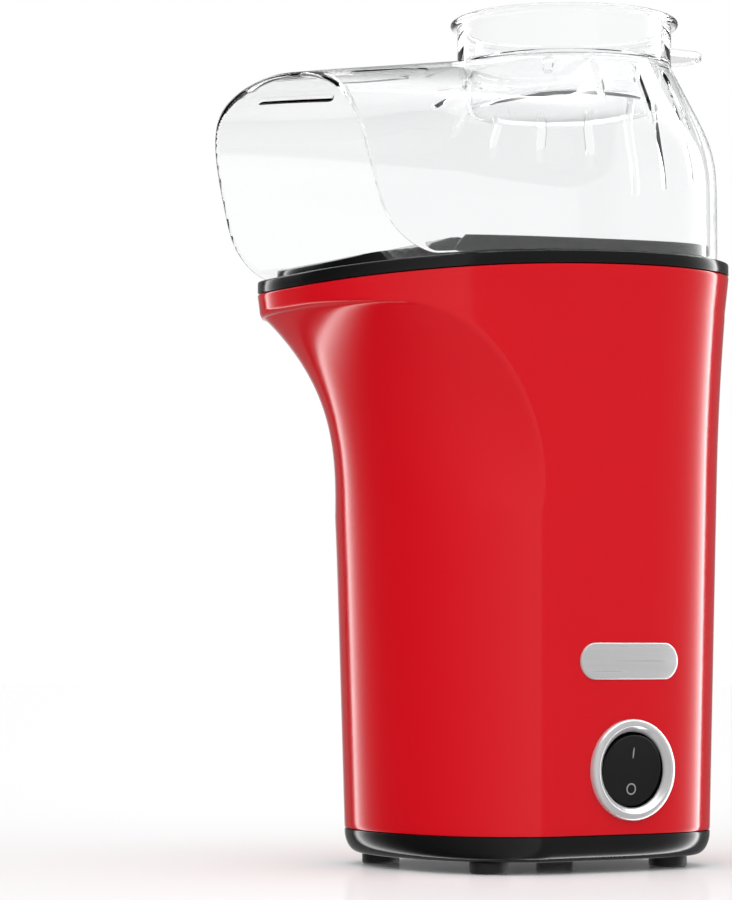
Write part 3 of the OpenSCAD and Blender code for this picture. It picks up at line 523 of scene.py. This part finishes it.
def housing():
    rows = body_rows()
    outer = np.array(rows)
    inner = np.array([np.c_[inset(r[:, :2], WALL), r[:, 2]] for r in rows])

    def in_switch(p):
        return (p[..., 0] > 0) & (np.hypot(p[..., 1] - SWITCH_Y, p[..., 2] - SWITCH_Z) < HOLE_R)

    def in_gland(p):
        return (p[..., 1] > 0) & (np.hypot(p[..., 0], p[..., 2] - GLAND_Z) < GLAND_R)

    def snap_switch(out, inn, i, j):
        y, z = out[i, j, 1] - SWITCH_Y, out[i, j, 2] - SWITCH_Z
        k = HOLE_R / math.hypot(y, z)
        y, z = SWITCH_Y + y * k, SWITCH_Z + z * k
        out[i, j] = skin_x(y, z), y, z
        inn[i, j] = skin_x(y, z) - WALL, y, z

    def snap_gland(out, inn, i, j):
        x, z = out[i, j, 0], out[i, j, 2] - GLAND_Z
        k = GLAND_R / math.hypot(x, z)
        x, z = x * k, GLAND_Z + z * k
        y = back_r(z) * (1 - (abs(x) / half_w(z)) ** BACK_POWER) ** (1 / BACK_POWER)
        out[i, j] = x, y, z
        inn[i, j] = x, y - WALL, z

    gone = hole_cut(outer, inner, in_switch, snap_switch) | hole_cut(outer, inner, in_gland, snap_gland)
    m, n = outer.shape[:2]
    half = m * n
    faces = []
    for i in range(m - 1):
        for j in range(n):
            if gone[i, j]:
                continue
            k = (j + 1) % n
            a, b, c, d = i * n + j, i * n + k, (i + 1) * n + k, (i + 1) * n + j
            faces += [(a, b, c, d), (half + d, half + c, half + b, half + a)]
            edges = [(a, b, i - 1, j), (b, c, i, k), (c, d, i + 1, j), (d, a, i, (j - 1) % n)]
            for p, q, ni, nj in edges:
                if 0 <= ni < m - 1 and gone[ni, nj]:
                    faces.append((q, p, half + p, half + q))
    for j in range(n):
        k, top = (j + 1) % n, (m - 1) * n
        faces += [(k, j, half + j, half + k), (top + j, top + k, half + top + k, half + top + j)]
    verts = np.concatenate([outer.reshape(-1, 3), inner.reshape(-1, 3)])
    obj = make_object("housing_shell", verts, faces, SLOT_MATERIALS["red_plastic"], 40.0)
    bm = bmesh.new()
    bm.from_mesh(obj.data)
    bmesh.ops.delete(bm, geom=[v for v in bm.verts if not v.link_faces], context="VERTS")
    bm.to_mesh(obj.data)
    bm.free()
    return finish_piece(obj, "base", "red_plastic", "housing")


FEET = [(x, y) for x in (-33.5, 33.5) for y in (-35.1, 36.9)]
BASE_SCREWS = [(42, 30), (-42, 30), (43, -22), (-43, -22)]


def base_cover():
    plan = outline(FOOT_Z)
    rows = []
    for a in np.linspace(0.0, 90.0, 12):
        a = math.radians(a)
        rows.append(at_z(inset(plan, 5.0 * (1 - math.sin(a))), FLOOR_Z + 7.6 * (1 - math.cos(a))))
    rows += [at_z(inset(plan, t), z) for t, z in ((0.0, 11.9), (0.1, 12.15), (0.45, 12.3), (6.6, 12.3))]
    rows += [at_z(inset(plan, 7.4), 11.8), at_z(inset(plan, 7.6), 6.5)]
    obj = loft("base_floor", rows, SLOT_MATERIALS["black_gloss"], angle=35.0)
    prisms = []
    for row in range(-3, 4):
        reach = 31 - 1.1 * row * row
        for side in (-1, 1):
            spot = Matrix.Translation((side * reach / 2, AXIS_Y - 3 + row * 7, 0))
            prisms.append(prism(stadium(reach - 3, 3, 8), 2, 9, spot))
    circle = arc(0, 0, 1, 0, 352.5, 48)
    for x, y in BASE_SCREWS:
        prisms.append(prism([(3.3 * u, 3.3 * v) for u, v in circle], 2, 6.2, Matrix.Translation((x, y, 0))))
    for x, y in FEET:
        well = [(3.05 * u, 3.05 * v) for u, v in circle]
        prisms.append(prism(well, 2, 6.3, Matrix.Translation((x, y, 0))))
    cut(obj, prisms, 35.0)
    return finish_piece(obj, "base", "black_gloss", "base_cover")


def feet():
    parts = []
    for x, y in FEET:
        profile = [(0.01, 0.35), (4.6, 0.35), (4.9, 0.0), (5.6, 0.0)]
        profile += arc(5.5, 0.9, 0.9, -80, 0, 5) + [(6.4, 3.4)] + arc(6.0, 3.55, 0.4, 0, 90, 4)
        profile += [(3.0, 3.97), (3.0, 6.1), (0.01, 6.1)]
        foot = lathe("foot", profile, SLOT_MATERIALS["foot_rubber"], 64, centre=(x, y, 0), wrap=False)
        parts.append(foot)
    return finish_piece(join("rubber_foot_set", parts), "base", "foot_rubber", "rubber_feet")


def chute_lift(loop):
    """How far the chute stands over the ring's deck."""
    x, y = loop[:, 0], loop[:, 1]
    top = RING_Z + RING_H
    low_y = np.array([-86.0, -78.0, -61.0, -55.0])
    low_z = top + ring_drop(low_y) + np.array([2.0, 3.4, 4.1, 5.4])
    ramp = np.interp(y, [*low_y, -48.0, AXIS_Y], [*low_z, CHUTE_Z - 0.4, CHUTE_Z])
    side = np.clip((CHUTE_HALF_W + 1.5 - np.abs(x)) / 3.0, 0.0, 1.0)
    side = np.where(y < AXIS_Y, side * side * (3 - 2 * side), 0.0)
    return side * np.maximum(0.0, ramp - top - ring_drop(y))


def top_ring():
    """One skin: outer band, deck under the hood's edge, upstand, chute and funnel, underside."""
    plan = lip_outline(RING_Z)
    n = len(plan)
    top = RING_Z + RING_H
    y = plan[:, 1]
    tall = UPSTAND_Z + UPSTAND_SLOPE * y - top - ring_drop(y)
    front = UPSTAND_Z + UPSTAND_SLOPE * UPSTAND_FRONT_Y - top - ring_drop(UPSTAND_FRONT_Y)
    slant = (y - UPSTAND_FOOT_Y) * front / (UPSTAND_FRONT_Y - UPSTAND_FOOT_Y)
    upstand = np.clip(slant, 0.0, tall)

    def deck(t, lift):
        loop = inset(plan, t)
        return np.c_[loop, top + lift + ring_drop(loop[:, 1])]

    rows = [deck(0.5, -RING_H + 0.1), deck(0.12, -RING_H + 0.25), deck(0.0, -RING_H + 0.6), deck(0.0, -0.6),
            deck(0.12, -0.24), deck(0.45, -0.04), deck(0.9, 0.0), deck(3.0, 0.0), deck(5.6, 0.0)]
    t = UPSTAND_INSET
    edge = np.maximum(upstand, chute_lift(inset(plan, t + 0.4)))
    bead = np.minimum(edge, 0.45)
    rows += [deck(t, 0.0), deck(t + 0.05, edge * 0.5), deck(t + 0.1, edge - bead),
             deck(t + 0.22, edge - 0.3 * bead), deck(t + 0.5, edge)]
    t += UPSTAND_W
    inside = chute_lift(inset(plan, t))
    rows += [deck(t - 0.5, np.maximum(edge, inside)), deck(t - 0.22, np.maximum(edge - 0.3 * bead, inside)),
             deck(t - 0.1, np.maximum(edge - bead, inside)), deck(t - 0.05, np.maximum(edge * 0.5, inside)),
             deck(t, inside)]
    # From there the deck and its chute run in to the chamber's mouth
    start = inset(plan, t)
    angle = np.arctan2(start[:, 1] - AXIS_Y, start[:, 0])
    rim = np.c_[34.6 * np.cos(angle), AXIS_Y + 34.6 * np.sin(angle)]
    for share in np.linspace(0.0, 1.0, 22)[1:]:
        loop = (1 - share) * start + share * rim
        rows.append(np.c_[loop, top + ring_drop(loop[:, 1]) + chute_lift(loop)])
    edge_z = rows[-1][:, 2]

    def collar(r, z):
        return np.c_[r * np.cos(angle), AXIS_Y + r * np.sin(angle), np.zeros(n) + z]

    rows += [collar(34.15, edge_z - 0.2), collar(34.0, edge_z - 0.7), collar(34.0, 188.3)]
    rows += [collar(34.4, 188.0), collar(35.6, 188.0), collar(35.6, 199.6)]
    rows += [deck(7.0, -2.4), deck(3.0, -2.4), deck(2.6, -RING_H + 0.1)]
    obj = loft("ring_and_chute", rows, SLOT_MATERIALS["black_gloss"], wrap=True, angle=38.0)
    return finish_piece(obj, "base", "black_gloss", "top_ring")


# ---- hood and cup -------------------------------------------------------------------------


def wall_distance(a, t):
    """From the cup's axis along a ray to the hood's wall, found by halving the interval."""
    low, high = 20.0, 170.0
    for _ in range(40):
        mid = (low + high) / 2
        x, y = mid * math.cos(a), AXIS_Y + mid * math.sin(a)
        reach = (back_r(RING_Z) - HOOD_STEP if y >= 0 else SPOUT_REACH) - t
        level = (abs(x) / (half_w(RING_Z) - HOOD_STEP - t)) ** 3 + (abs(y) / reach) ** 3
        low, high = (low, mid) if level > 1 else (mid, high)
    return low


def dome_profile():
    """Run out (0 at the cup, 1 at the wall) and height (1 on top, 0 at the ring) along a dome's ray."""
    turn = np.linspace(0.0, math.pi / 2, 2000)
    out, up = np.sin(turn) ** 0.25, np.cos(turn) ** 0.25
    run = np.r_[0.0, np.cumsum(np.hypot(np.diff(out), np.diff(up)))]
    return run / run[-1], out, up


DOME = dome_profile()
MOUTH_R, MOUTH_Y, MOUTH_LEAN = 24.0, -63.2, 10 / 38
MOUTH_Z = RING_Z + RING_H + ring_drop(MOUTH_Y) + MOUTH_R - 0.4


def mouth_y(z):
    """Side view of the spout's mouth: round at the bottom, then a straight edge that leans forward."""
    lean = math.atan(MOUTH_LEAN)
    line_z = MOUTH_Z - MOUTH_R * math.sin(lean)
    if z > line_z:
        return MOUTH_Y - MOUTH_R * math.cos(lean) - MOUTH_LEAN * (z - line_z)
    return MOUTH_Y - math.sqrt(max(0.0, MOUTH_R**2 - (MOUTH_Z - z) ** 2))


def dome_point(a, wall, u, t):
    """A point of the hood's skin on the ray at angle a: u is 0 at the cup and 1 at the ring."""
    out, up = np.interp(u, DOME[0], DOME[1]), np.interp(u, DOME[0], DOME[2])
    turned_away = min(1.0, math.sqrt(1 + math.sin(a) + 0.0016) - 0.04)
    droop = FRONT_DROOP + (SIDE_DROOP - FRONT_DROOP) * turned_away
    seat = RING_Z + RING_H + HOOD_GAP + ring_drop(AXIS_Y + wall * math.sin(a))
    reach = HOOD_RIM_R + (wall - HOOD_RIM_R) * out
    z = seat + (HOOD_TOP_Z - t - seat) * (1 - droop * out) * up
    return np.array([reach * math.cos(a), AXIS_Y + reach * math.sin(a), z])


def dome_end(a, wall, t):
    """How far a ray of the dome runs before the mouth or the ring ends it."""
    low, high = 0.0, 1.0
    last = dome_point(a, wall, 1.0, t)
    if last[1] >= mouth_y(last[2]):
        return 1.0
    for _ in range(30):
        mid = (low + high) / 2
        p = dome_point(a, wall, mid, t)
        low, high = (mid, high) if p[1] > mouth_y(p[2]) else (low, mid)
    return low


def hood():
    """Clear dome with a spout. Its rays end in a round bead at the mouth and at the ring."""
    angles = np.concatenate([
        np.linspace(-math.pi / 2, -1.22, 30)[:-1], np.linspace(-1.22, -0.9, 36)[:-1],
        np.linspace(-0.9, math.pi / 2, 50)])
    angles = np.concatenate([angles, (math.pi - angles[1:-1])[::-1]])
    levels = np.concatenate([
        np.linspace(0.0, 0.38, 18)[:-1], np.linspace(0.38, 0.6, 24)[:-1], np.linspace(0.6, 1.0, 22)])
    skins, tips = [], []
    for t in (0.0, HOOD_WALL):
        walls = [wall_distance(a, t) for a in angles]
        rays, ends = [], []
        for a, wall in zip(angles, walls):
            end = dome_end(a, wall, t)
            tip, near = dome_point(a, wall, end, t), dome_point(a, wall, end - 0.004, t)
            end -= 0.004 * HOOD_BEAD / np.linalg.norm(tip - near)
            rays.append([dome_point(a, wall, min(u, end), t) for u in levels])
            ends.append((tip - near) / np.linalg.norm(tip - near))
        skins.append(np.array(rays).transpose(1, 0, 2))
        tips.append(np.array(ends))
    outer, inner, ahead = skins[0][-1], skins[1][-1], (tips[0] + tips[1]) / 2
    rows = list(skins[0])
    for turn in np.linspace(0, math.pi, 9)[1:-1]:
        middle = (outer + inner) / 2 + (outer - inner) / 2 * math.cos(turn)
        rows.append(middle + ahead * HOOD_BEAD * math.sin(turn))
    rows += list(skins[1][::-1])
    for r, z in ((34.9, -2.0), (34.6, -1.6), (34.6, -0.8), (34.7, -0.3), (35.0, -0.05), (36.4, 0.0)):
        ring = np.c_[r * np.cos(angles), AXIS_Y + r * np.sin(angles)]
        rows.append(at_z(ring, HOOD_TOP_Z + z))
    obj = loft("clear_hood", rows, SLOT_MATERIALS["clear_plastic"], wrap=True, angle=50.0)
    bm = bmesh.new()
    bm.from_mesh(obj.data)
    bmesh.ops.remove_doubles(bm, verts=bm.verts, dist=0.02 * MM)
    bm.to_mesh(obj.data)
    bm.free()
    slots = []
    for k in range(13):
        turn = math.radians(90 + (k - 6) * 22)
        spot = Matrix.Translation((0, AXIS_Y, 0)) @ Matrix.Rotation(turn, 4, "Z")
        spot = spot @ Matrix.Translation((43.5, 0, 0))
        slots.append(prism(stadium(9.2, 3.2, 10), 235, 300, spot))
    for x, y, length, width in ((0, -62.5, 36, 3), (-30, -71, 29, 2.6), (30, -71, 29, 2.6)):
        spot = Matrix.Translation((x, y, 0)) @ Matrix.Rotation(math.pi / 2, 4, "Z")
        slots.append(prism(stadium(length, width, 10), 235, 300, spot))
    cut(obj, slots, 50.0)
    return finish_piece(obj, "hood", "clear_plastic", "hood")


def measuring_cup():
    step = HOOD_TOP_Z + 0.3
    low_in, top_in = CUP_LOW_R - CUP_WALL, CUP_R - CUP_WALL
    profile = [(0.02, CUP_FLOOR_Z)]
    profile += arc(CUP_LOW_R - 1.8, CUP_FLOOR_Z + 1.8, 1.8, -90, 0, 7)
    profile += [(CUP_LOW_R, step - 0.4), (CUP_LOW_R + 0.4, step)]
    profile += arc(CUP_R - 0.7, step + 0.7, 0.7, -90, 0, 5)
    profile += [(CUP_R, CUP_TOP_Z - 3.0), (CUP_R + 0.4, CUP_TOP_Z - 2.4)]
    profile += arc(CUP_RIM_R - 1.15, CUP_TOP_Z - 1.2, 1.15, -80, 90, 10)
    profile += [(top_in + 0.5, CUP_TOP_Z - 0.1), (top_in, CUP_TOP_Z - 0.6)]
    profile += [(top_in, step + CUP_WALL + 0.7), (top_in - 0.6, step + CUP_WALL)]
    profile += [(low_in + 0.6, step + CUP_WALL), (low_in, step + CUP_WALL - 0.6)]
    profile += arc(low_in - 1.6, CUP_FLOOR_Z + CUP_WALL + 1.6, 1.6, 0, -90, 6)
    profile += [(0.02, CUP_FLOOR_Z + CUP_WALL)]
    mat = SLOT_MATERIALS["clear_cup"]
    cup = lathe("clear_cup", profile, mat, 160, centre=(0, AXIS_Y, 0), wrap=False, angle=40.0)
    # Handle: a flat tab with a rounded end and a raised border
    half, reach, low = 11.0, 56.6, CUP_TOP_Z - 9.4

    def border(t):
        tip = arc(0, reach - half, half - t, 0, 180, 28)
        return np.array([(half - t, 36.4)] + tip + [(t - half, 36.4)])

    def row(t, z):
        p = border(t)
        return np.c_[p[:, 0], p[:, 1] + AXIS_Y, np.full(len(p), low + z)]

    rows = [row(1.6, 0.5), row(1.4, 0.0), row(0.3, 0.0), row(0.0, 0.3), row(0.0, 2.1), row(0.3, 2.4),
            row(1.4, 2.4), row(1.6, 1.9)]
    tab = loft("cup_tab", rows, mat, angle=40.0)
    return finish_piece(join("clear_measuring_cup", [cup, tab]), "cup", "clear_cup", "measuring_cup")


# ---- switch, badge, gland -----------------------------------------------------------------

SIDE_X = half_w(SWITCH_Z)


def bezel():
    spot = (SIDE_X, SWITCH_Y, SWITCH_Z)
    profile = [(14.6, -1.15), (16.45, -1.15), (16.6, -1.0), (16.6, 0.7)]
    profile += arc(15.25, 0.75, 1.35, 0, 80, 9) + [(14.9, 2.36)]
    profile += arc(14.6, 1.75, 0.62, 85, 150, 5)
    profile += [(13.4, 1.45), (12.75, 0.95), (12.45, 0.5), (12.4, 0.25), (12.4, 0.05), (14.6, 0.05)]
    obj = lathe("chrome_bezel", profile, SLOT_MATERIALS["satin_chrome"], 160, "x", spot, 35.0)
    return finish_piece(obj, "base", "satin_chrome", "switch_bezel")


def rocker():
    """Round rocker, lower half pressed in, with a dished face and the two usual marks."""
    tilt = Matrix.Rotation(math.radians(ROCKER_TILT), 3, "Y")
    pivot = Vector((SIDE_X - 2.3, SWITCH_Y, SWITCH_Z))
    turn = np.linspace(0, 2 * math.pi, 128, endpoint=False)

    def ring(share, depth, dish=True):
        y, z = ROCKER_R * share * np.cos(turn), ROCKER_R * share * np.sin(turn)
        limit = 11.72 * share
        z = np.clip(z, -limit, limit)
        x = depth + (0.75 * ((z / ROCKER_R) ** 2) - 0.75 if dish else 0.0) * np.ones_like(y)
        return np.stack([x, y, z], 1)

    rows = [ring(s, 3.1) for s in (0.002, 0.2, 0.4, 0.6, 0.8, 0.92, 0.965)]
    rows += [ring(0.985, 2.97), ring(0.997, 2.75), ring(1.0, 2.4)]
    rows += [ring(1.0, -2.0, False), ring(0.9, -3.0, False)]
    rows.append(ring(0.002, -3.0, False))

    def turned(points):
        return np.array([tuple(tilt @ Vector(p) + pivot) for p in points])

    body = loft("rocker_body", [turned(r) for r in rows], SLOT_MATERIALS["switch_black"], angle=35.0)
    mark = switch_mark()

    def face_x(z):
        return 3.1 + 0.75 * (z / ROCKER_R) ** 2 - 0.75

    def mark_rows(points_out, points_in):
        out = []
        for pts, lift in ((points_out, -0.2), (points_out, 0.04), (points_in, 0.04), (points_in, -0.2)):
            out.append(turned([(face_x(z) + lift, y, z) for y, z in pts]))
        return out

    circle = arc(0, -6.0, 1.9, 0, 354, 48)
    hole = arc(0, -6.0, 1.45, 0, 354, 48)
    ring_mark = loft("mark_off", mark_rows(circle, hole), mark, wrap=True)
    around = np.linspace(0, 2 * math.pi, 24, endpoint=False)
    bar = [(0.26 * math.cos(a), 5.9 + 1.9 * math.sin(a)) for a in around]
    small = [(0.2 * math.cos(a), 5.9 + 1.84 * math.sin(a)) for a in around]
    bar_mark = loft("mark_on", mark_rows(bar, small)[:3], mark)
    obj = join("round_rocker", [body, ring_mark, bar_mark])
    return finish_piece(obj, "rocker", "switch_black", "rocker_button")


def badge():
    """Blank plate that follows the side's curve, with a bevelled edge."""
    shape = np.array(stadium(BADGE_L, BADGE_H, 24))

    def row(scale_in, lift):
        size = np.array([BADGE_L / 2, BADGE_H / 2])
        pts = shape * (size - scale_in) / size + np.array([BADGE_Y, BADGE_Z])
        return np.array([(skin_x(y, z) + lift, y, z) for y, z in pts])

    rows = [row(0.0, -0.05), row(0.0, 0.5), row(0.12, 0.72), row(0.4, 0.85), row(0.9, 0.9), row(1.5, 0.9)]
    rows += [row(t, 0.9) for t in (2.6, 3.8, 4.9, 5.8)]
    obj = loft("blank_badge", rows, SLOT_MATERIALS["brushed_badge"], angle=50.0)
    return finish_piece(obj, "base", "brushed_badge", "badge")


def gland():
    """Rubber grommet with a flange outside, a short snout and the cord's bore."""
    spot = (0, back_r(GLAND_Z), GLAND_Z)
    profile = [(3.9, -4.6), (4.3, -5.0), (7.0, -5.0), (7.4, -4.6), (7.4, -3.0), (6.0, -3.0), (6.0, 0.45)]
    profile += [(8.2, 0.45), (8.4, 0.6), (8.4, 1.3)] + arc(7.5, 1.3, 0.9, 0, 75, 5)
    profile += [(6.5, 2.55), (6.1, 3.0), (5.35, 7.6)] + arc(4.75, 7.8, 0.6, 0, 90, 5)
    profile += [(3.7, 8.4), (3.4, 8.15), (3.4, 1.2), (3.9, 0.7)]
    obj = lathe("cord_grommet", profile, SLOT_MATERIALS["foot_rubber"], 96, "y", spot, 35.0)
    return finish_piece(obj, "base", "foot_rubber", "cord_gland")


housing()
base_cover()
feet()
top_ring()
hood()
measuring_cup()
bezel()
rocker()
badge()
gland()

# The CAD pieces that stay get a full material from their slot
slots = {s["node"]: s["material_slot"] for s in frame["record"]["subparts"]}
for name, node in frame["nodes"].items():
    node.data.materials.clear()
    node.data.materials.append(SLOT_MATERIALS[slots[name]])

# ---- studio -------------------------------------------------------------------------------


class Graph:
    """Short calls for the maths of a node tree: a value is a number or another node's output."""

    def __init__(self, tree):
        self.nodes, self.links = tree.nodes, tree.links

    def __call__(self, operation, *values, clamp=False):
        node = self.nodes.new("ShaderNodeMath")
        node.operation, node.use_clamp = operation, clamp
        for socket, value in zip(node.inputs, values):
            if isinstance(value, (int, float)):
                socket.default_value = value
            else:
                self.links.new(value, socket)
        return node.outputs[0]

    def ramp(self, value, low, high):
        """0 below low, 1 above high, smooth between."""
        node = self.nodes.new("ShaderNodeMapRange")
        node.interpolation_type = "SMOOTHSTEP"
        node.inputs["From Min"].default_value, node.inputs["From Max"].default_value = low, high
        self.links.new(value, node.inputs["Value"])
        return node.outputs["Result"]

    def bell(self, value, width):
        """exp(-(value / width)^2)"""
        share = self("DIVIDE", value, float(width))
        return self("EXPONENT", self("MULTIPLY", self("MULTIPLY", share, share), -1.0))

    def add(self, *values):
        total = values[0]
        for value in values[1:]:
            total = self("ADD", total, value)
        return total


def floor():
    """Pale sweep with a weak mirror image; glossy rays pass it, so it doesn't wash out the gloss."""
    mesh = bpy.data.meshes.new("floor")
    size = 6.0
    corners = [(-size, -size, 0), (size, -size, 0), (size, size, 0), (-size, size, 0)]
    mesh.from_pydata(corners, [], [(0, 1, 2, 3)])
    obj = bpy.data.objects.new("floor", mesh)
    bpy.context.scene.collection.objects.link(obj)
    mat = bpy.data.materials.new("floor_white")
    mat.use_nodes = True
    nodes, links = mat.node_tree.nodes, mat.node_tree.links
    nodes.clear()
    matt, mirror = nodes.new("ShaderNodeBsdfDiffuse"), nodes.new("ShaderNodeBsdfGlossy")
    mix, out = nodes.new("ShaderNodeMixShader"), nodes.new("ShaderNodeOutputMaterial")
    matt.inputs["Color"].default_value = (0.9, 0.9, 0.903, 1.0)
    mirror.inputs["Roughness"].default_value = 0.13
    mix.inputs[0].default_value = 0.14
    links.new(matt.outputs[0], mix.inputs[1])
    links.new(mirror.outputs[0], mix.inputs[2])
    links.new(mix.outputs[0], out.inputs[0])
    mesh.materials.append(mat)
    obj.visible_glossy = False


def studio():
    """White surround. Matt surfaces get soft light from the front and above. Gloss mirrors two tall
    softboxes, a light overhead, a soft patch behind and a wall that grows brighter to one side."""
    world = bpy.data.worlds.new("studio")
    bpy.context.scene.world = world
    world.use_nodes = True
    nodes, links = world.node_tree.nodes, world.node_tree.links
    g = Graph(world.node_tree)
    split = nodes.new("ShaderNodeSeparateXYZ")
    links.new(nodes.new("ShaderNodeTexCoord").outputs["Generated"], split.inputs[0])
    x, y, z = split.outputs
    rise = g("DEGREES", g("ARCSINE", z))

    def turned(azimuth):
        """Degrees from an azimuth; 0 is in front of the spout and 90 is on the switch's side."""
        a = math.radians(azimuth)
        across = g("ADD", g("MULTIPLY", x, math.cos(a)), g("MULTIPLY", y, math.sin(a)))
        along = g("ADD", g("MULTIPLY", x, math.sin(a)), g("MULTIPLY", y, -math.cos(a)))
        return g("DEGREES", g("ARCTAN2", across, along))

    def strip(edge, side, fade, power):
        """Tall softbox with a hard outer edge at an azimuth, fading out on its other side."""
        run = g("MULTIPLY", turned(edge), float(side))
        light = g("EXPONENT", g("MULTIPLY", g("MAXIMUM", run, 0.0), -1.0 / fade))
        return g("MULTIPLY", g("MULTIPLY", light, g.ramp(run, -0.6, 0.6)), power)

    # A wall that grows brighter from the spout's side up to an edge facing the switch's side
    before = g("MULTIPLY", turned(92.0), -1.0)
    growing = g("POWER", g("MAXIMUM", g("SUBTRACT", 1.0, g("DIVIDE", before, 150.0)), 0.0), 1.6)
    in_front = g.ramp(before, -1.5, 1.5)
    room = g("ADD", g("MULTIPLY", g("MULTIPLY", growing, 0.5), in_front),
             g("MULTIPLY", g("SUBTRACT", 1.0, in_front), 0.2))
    overhead = g("MULTIPLY", g.ramp(rise, 38.0, 70.0), 1.6)
    sweep = g("MULTIPLY", g.bell(turned(238.6), 11.0), g("MULTIPLY", g.bell(rise, 12.0), 1.0))
    gloss = g.add(
        0.01, room, overhead, sweep, strip(-80.0, 1, 4.8, 6.5), strip(180.0, -1, 7.7, 13.0))
    key = math.radians(58.0)
    front = g("ADD", g("MULTIPLY", x, math.sin(key) * 0.85), g("MULTIPLY", y, -math.cos(key) * 0.85))
    front = g("MAXIMUM", g("ADD", front, g("MULTIPLY", z, 0.5)), 0.0)
    matt = g.add(0.5, g("MULTIPLY", front, 0.75), g("MULTIPLY", g("MAXIMUM", z, 0.0), 0.55))
    path = nodes.new("ShaderNodeLightPath")
    seen = g("MAXIMUM", path.outputs["Is Camera Ray"], path.outputs["Is Transmission Ray"])
    dull = g("SUBTRACT", 1.0, path.outputs["Is Diffuse Ray"])
    shade = g("ADD", g("MULTIPLY", gloss, dull), g("MULTIPLY", matt, path.outputs["Is Diffuse Ray"]))
    # Light that has been through clear plastic is never darker than this, so its edges aren't black
    floor_light = 0.22
    through = g("MULTIPLY", g.ramp(path.outputs["Transmission Depth"], 0.2, 0.8), floor_light)
    shade = g("MAXIMUM", shade, through)
    clear = g("ADD", g("MULTIPLY", shade, g("SUBTRACT", 1.0, seen)), seen)
    nodes["Background"].inputs["Color"].default_value = (1.0, 1.0, 1.0, 1.0)
    links.new(clear, nodes["Background"].inputs["Strength"])


def polar(azimuth, distance, height):
    """A place round the object: azimuth 0 is in front of the spout, 90 is on the switch's side."""
    a = math.radians(azimuth)
    return (distance * math.sin(a), SHIFT_Y - distance * math.cos(a), height)


def camera():
    """Level with the base's lower part, on a long lens; the object stands right of the middle."""
    data = bpy.data.cameras.new("camera")
    data.lens, data.sensor_width = 136.0, 36.0
    data.clip_end = 30.0
    obj = bpy.data.objects.new("camera", data)
    bpy.context.scene.collection.objects.link(obj)
    azimuth, distance, height = 56.0, 1.1604, 0.071
    turn_left, tilt_up = 2.593, 3.45
    obj.location = polar(azimuth, distance, height)
    heading = math.radians(azimuth + turn_left)
    rise = math.radians(tilt_up)
    look = Vector((-math.sin(heading) * math.cos(rise), math.cos(heading) * math.cos(rise), math.sin(rise)))
    obj.rotation_euler = look.to_track_quat("-Z", "Y").to_euler()
    bpy.context.scene.camera = obj


floor()
studio()
camera()
bpy.context.scene.view_settings.view_transform = "Standard"
bpy.context.scene.world.cycles.sampling_method = "NONE"
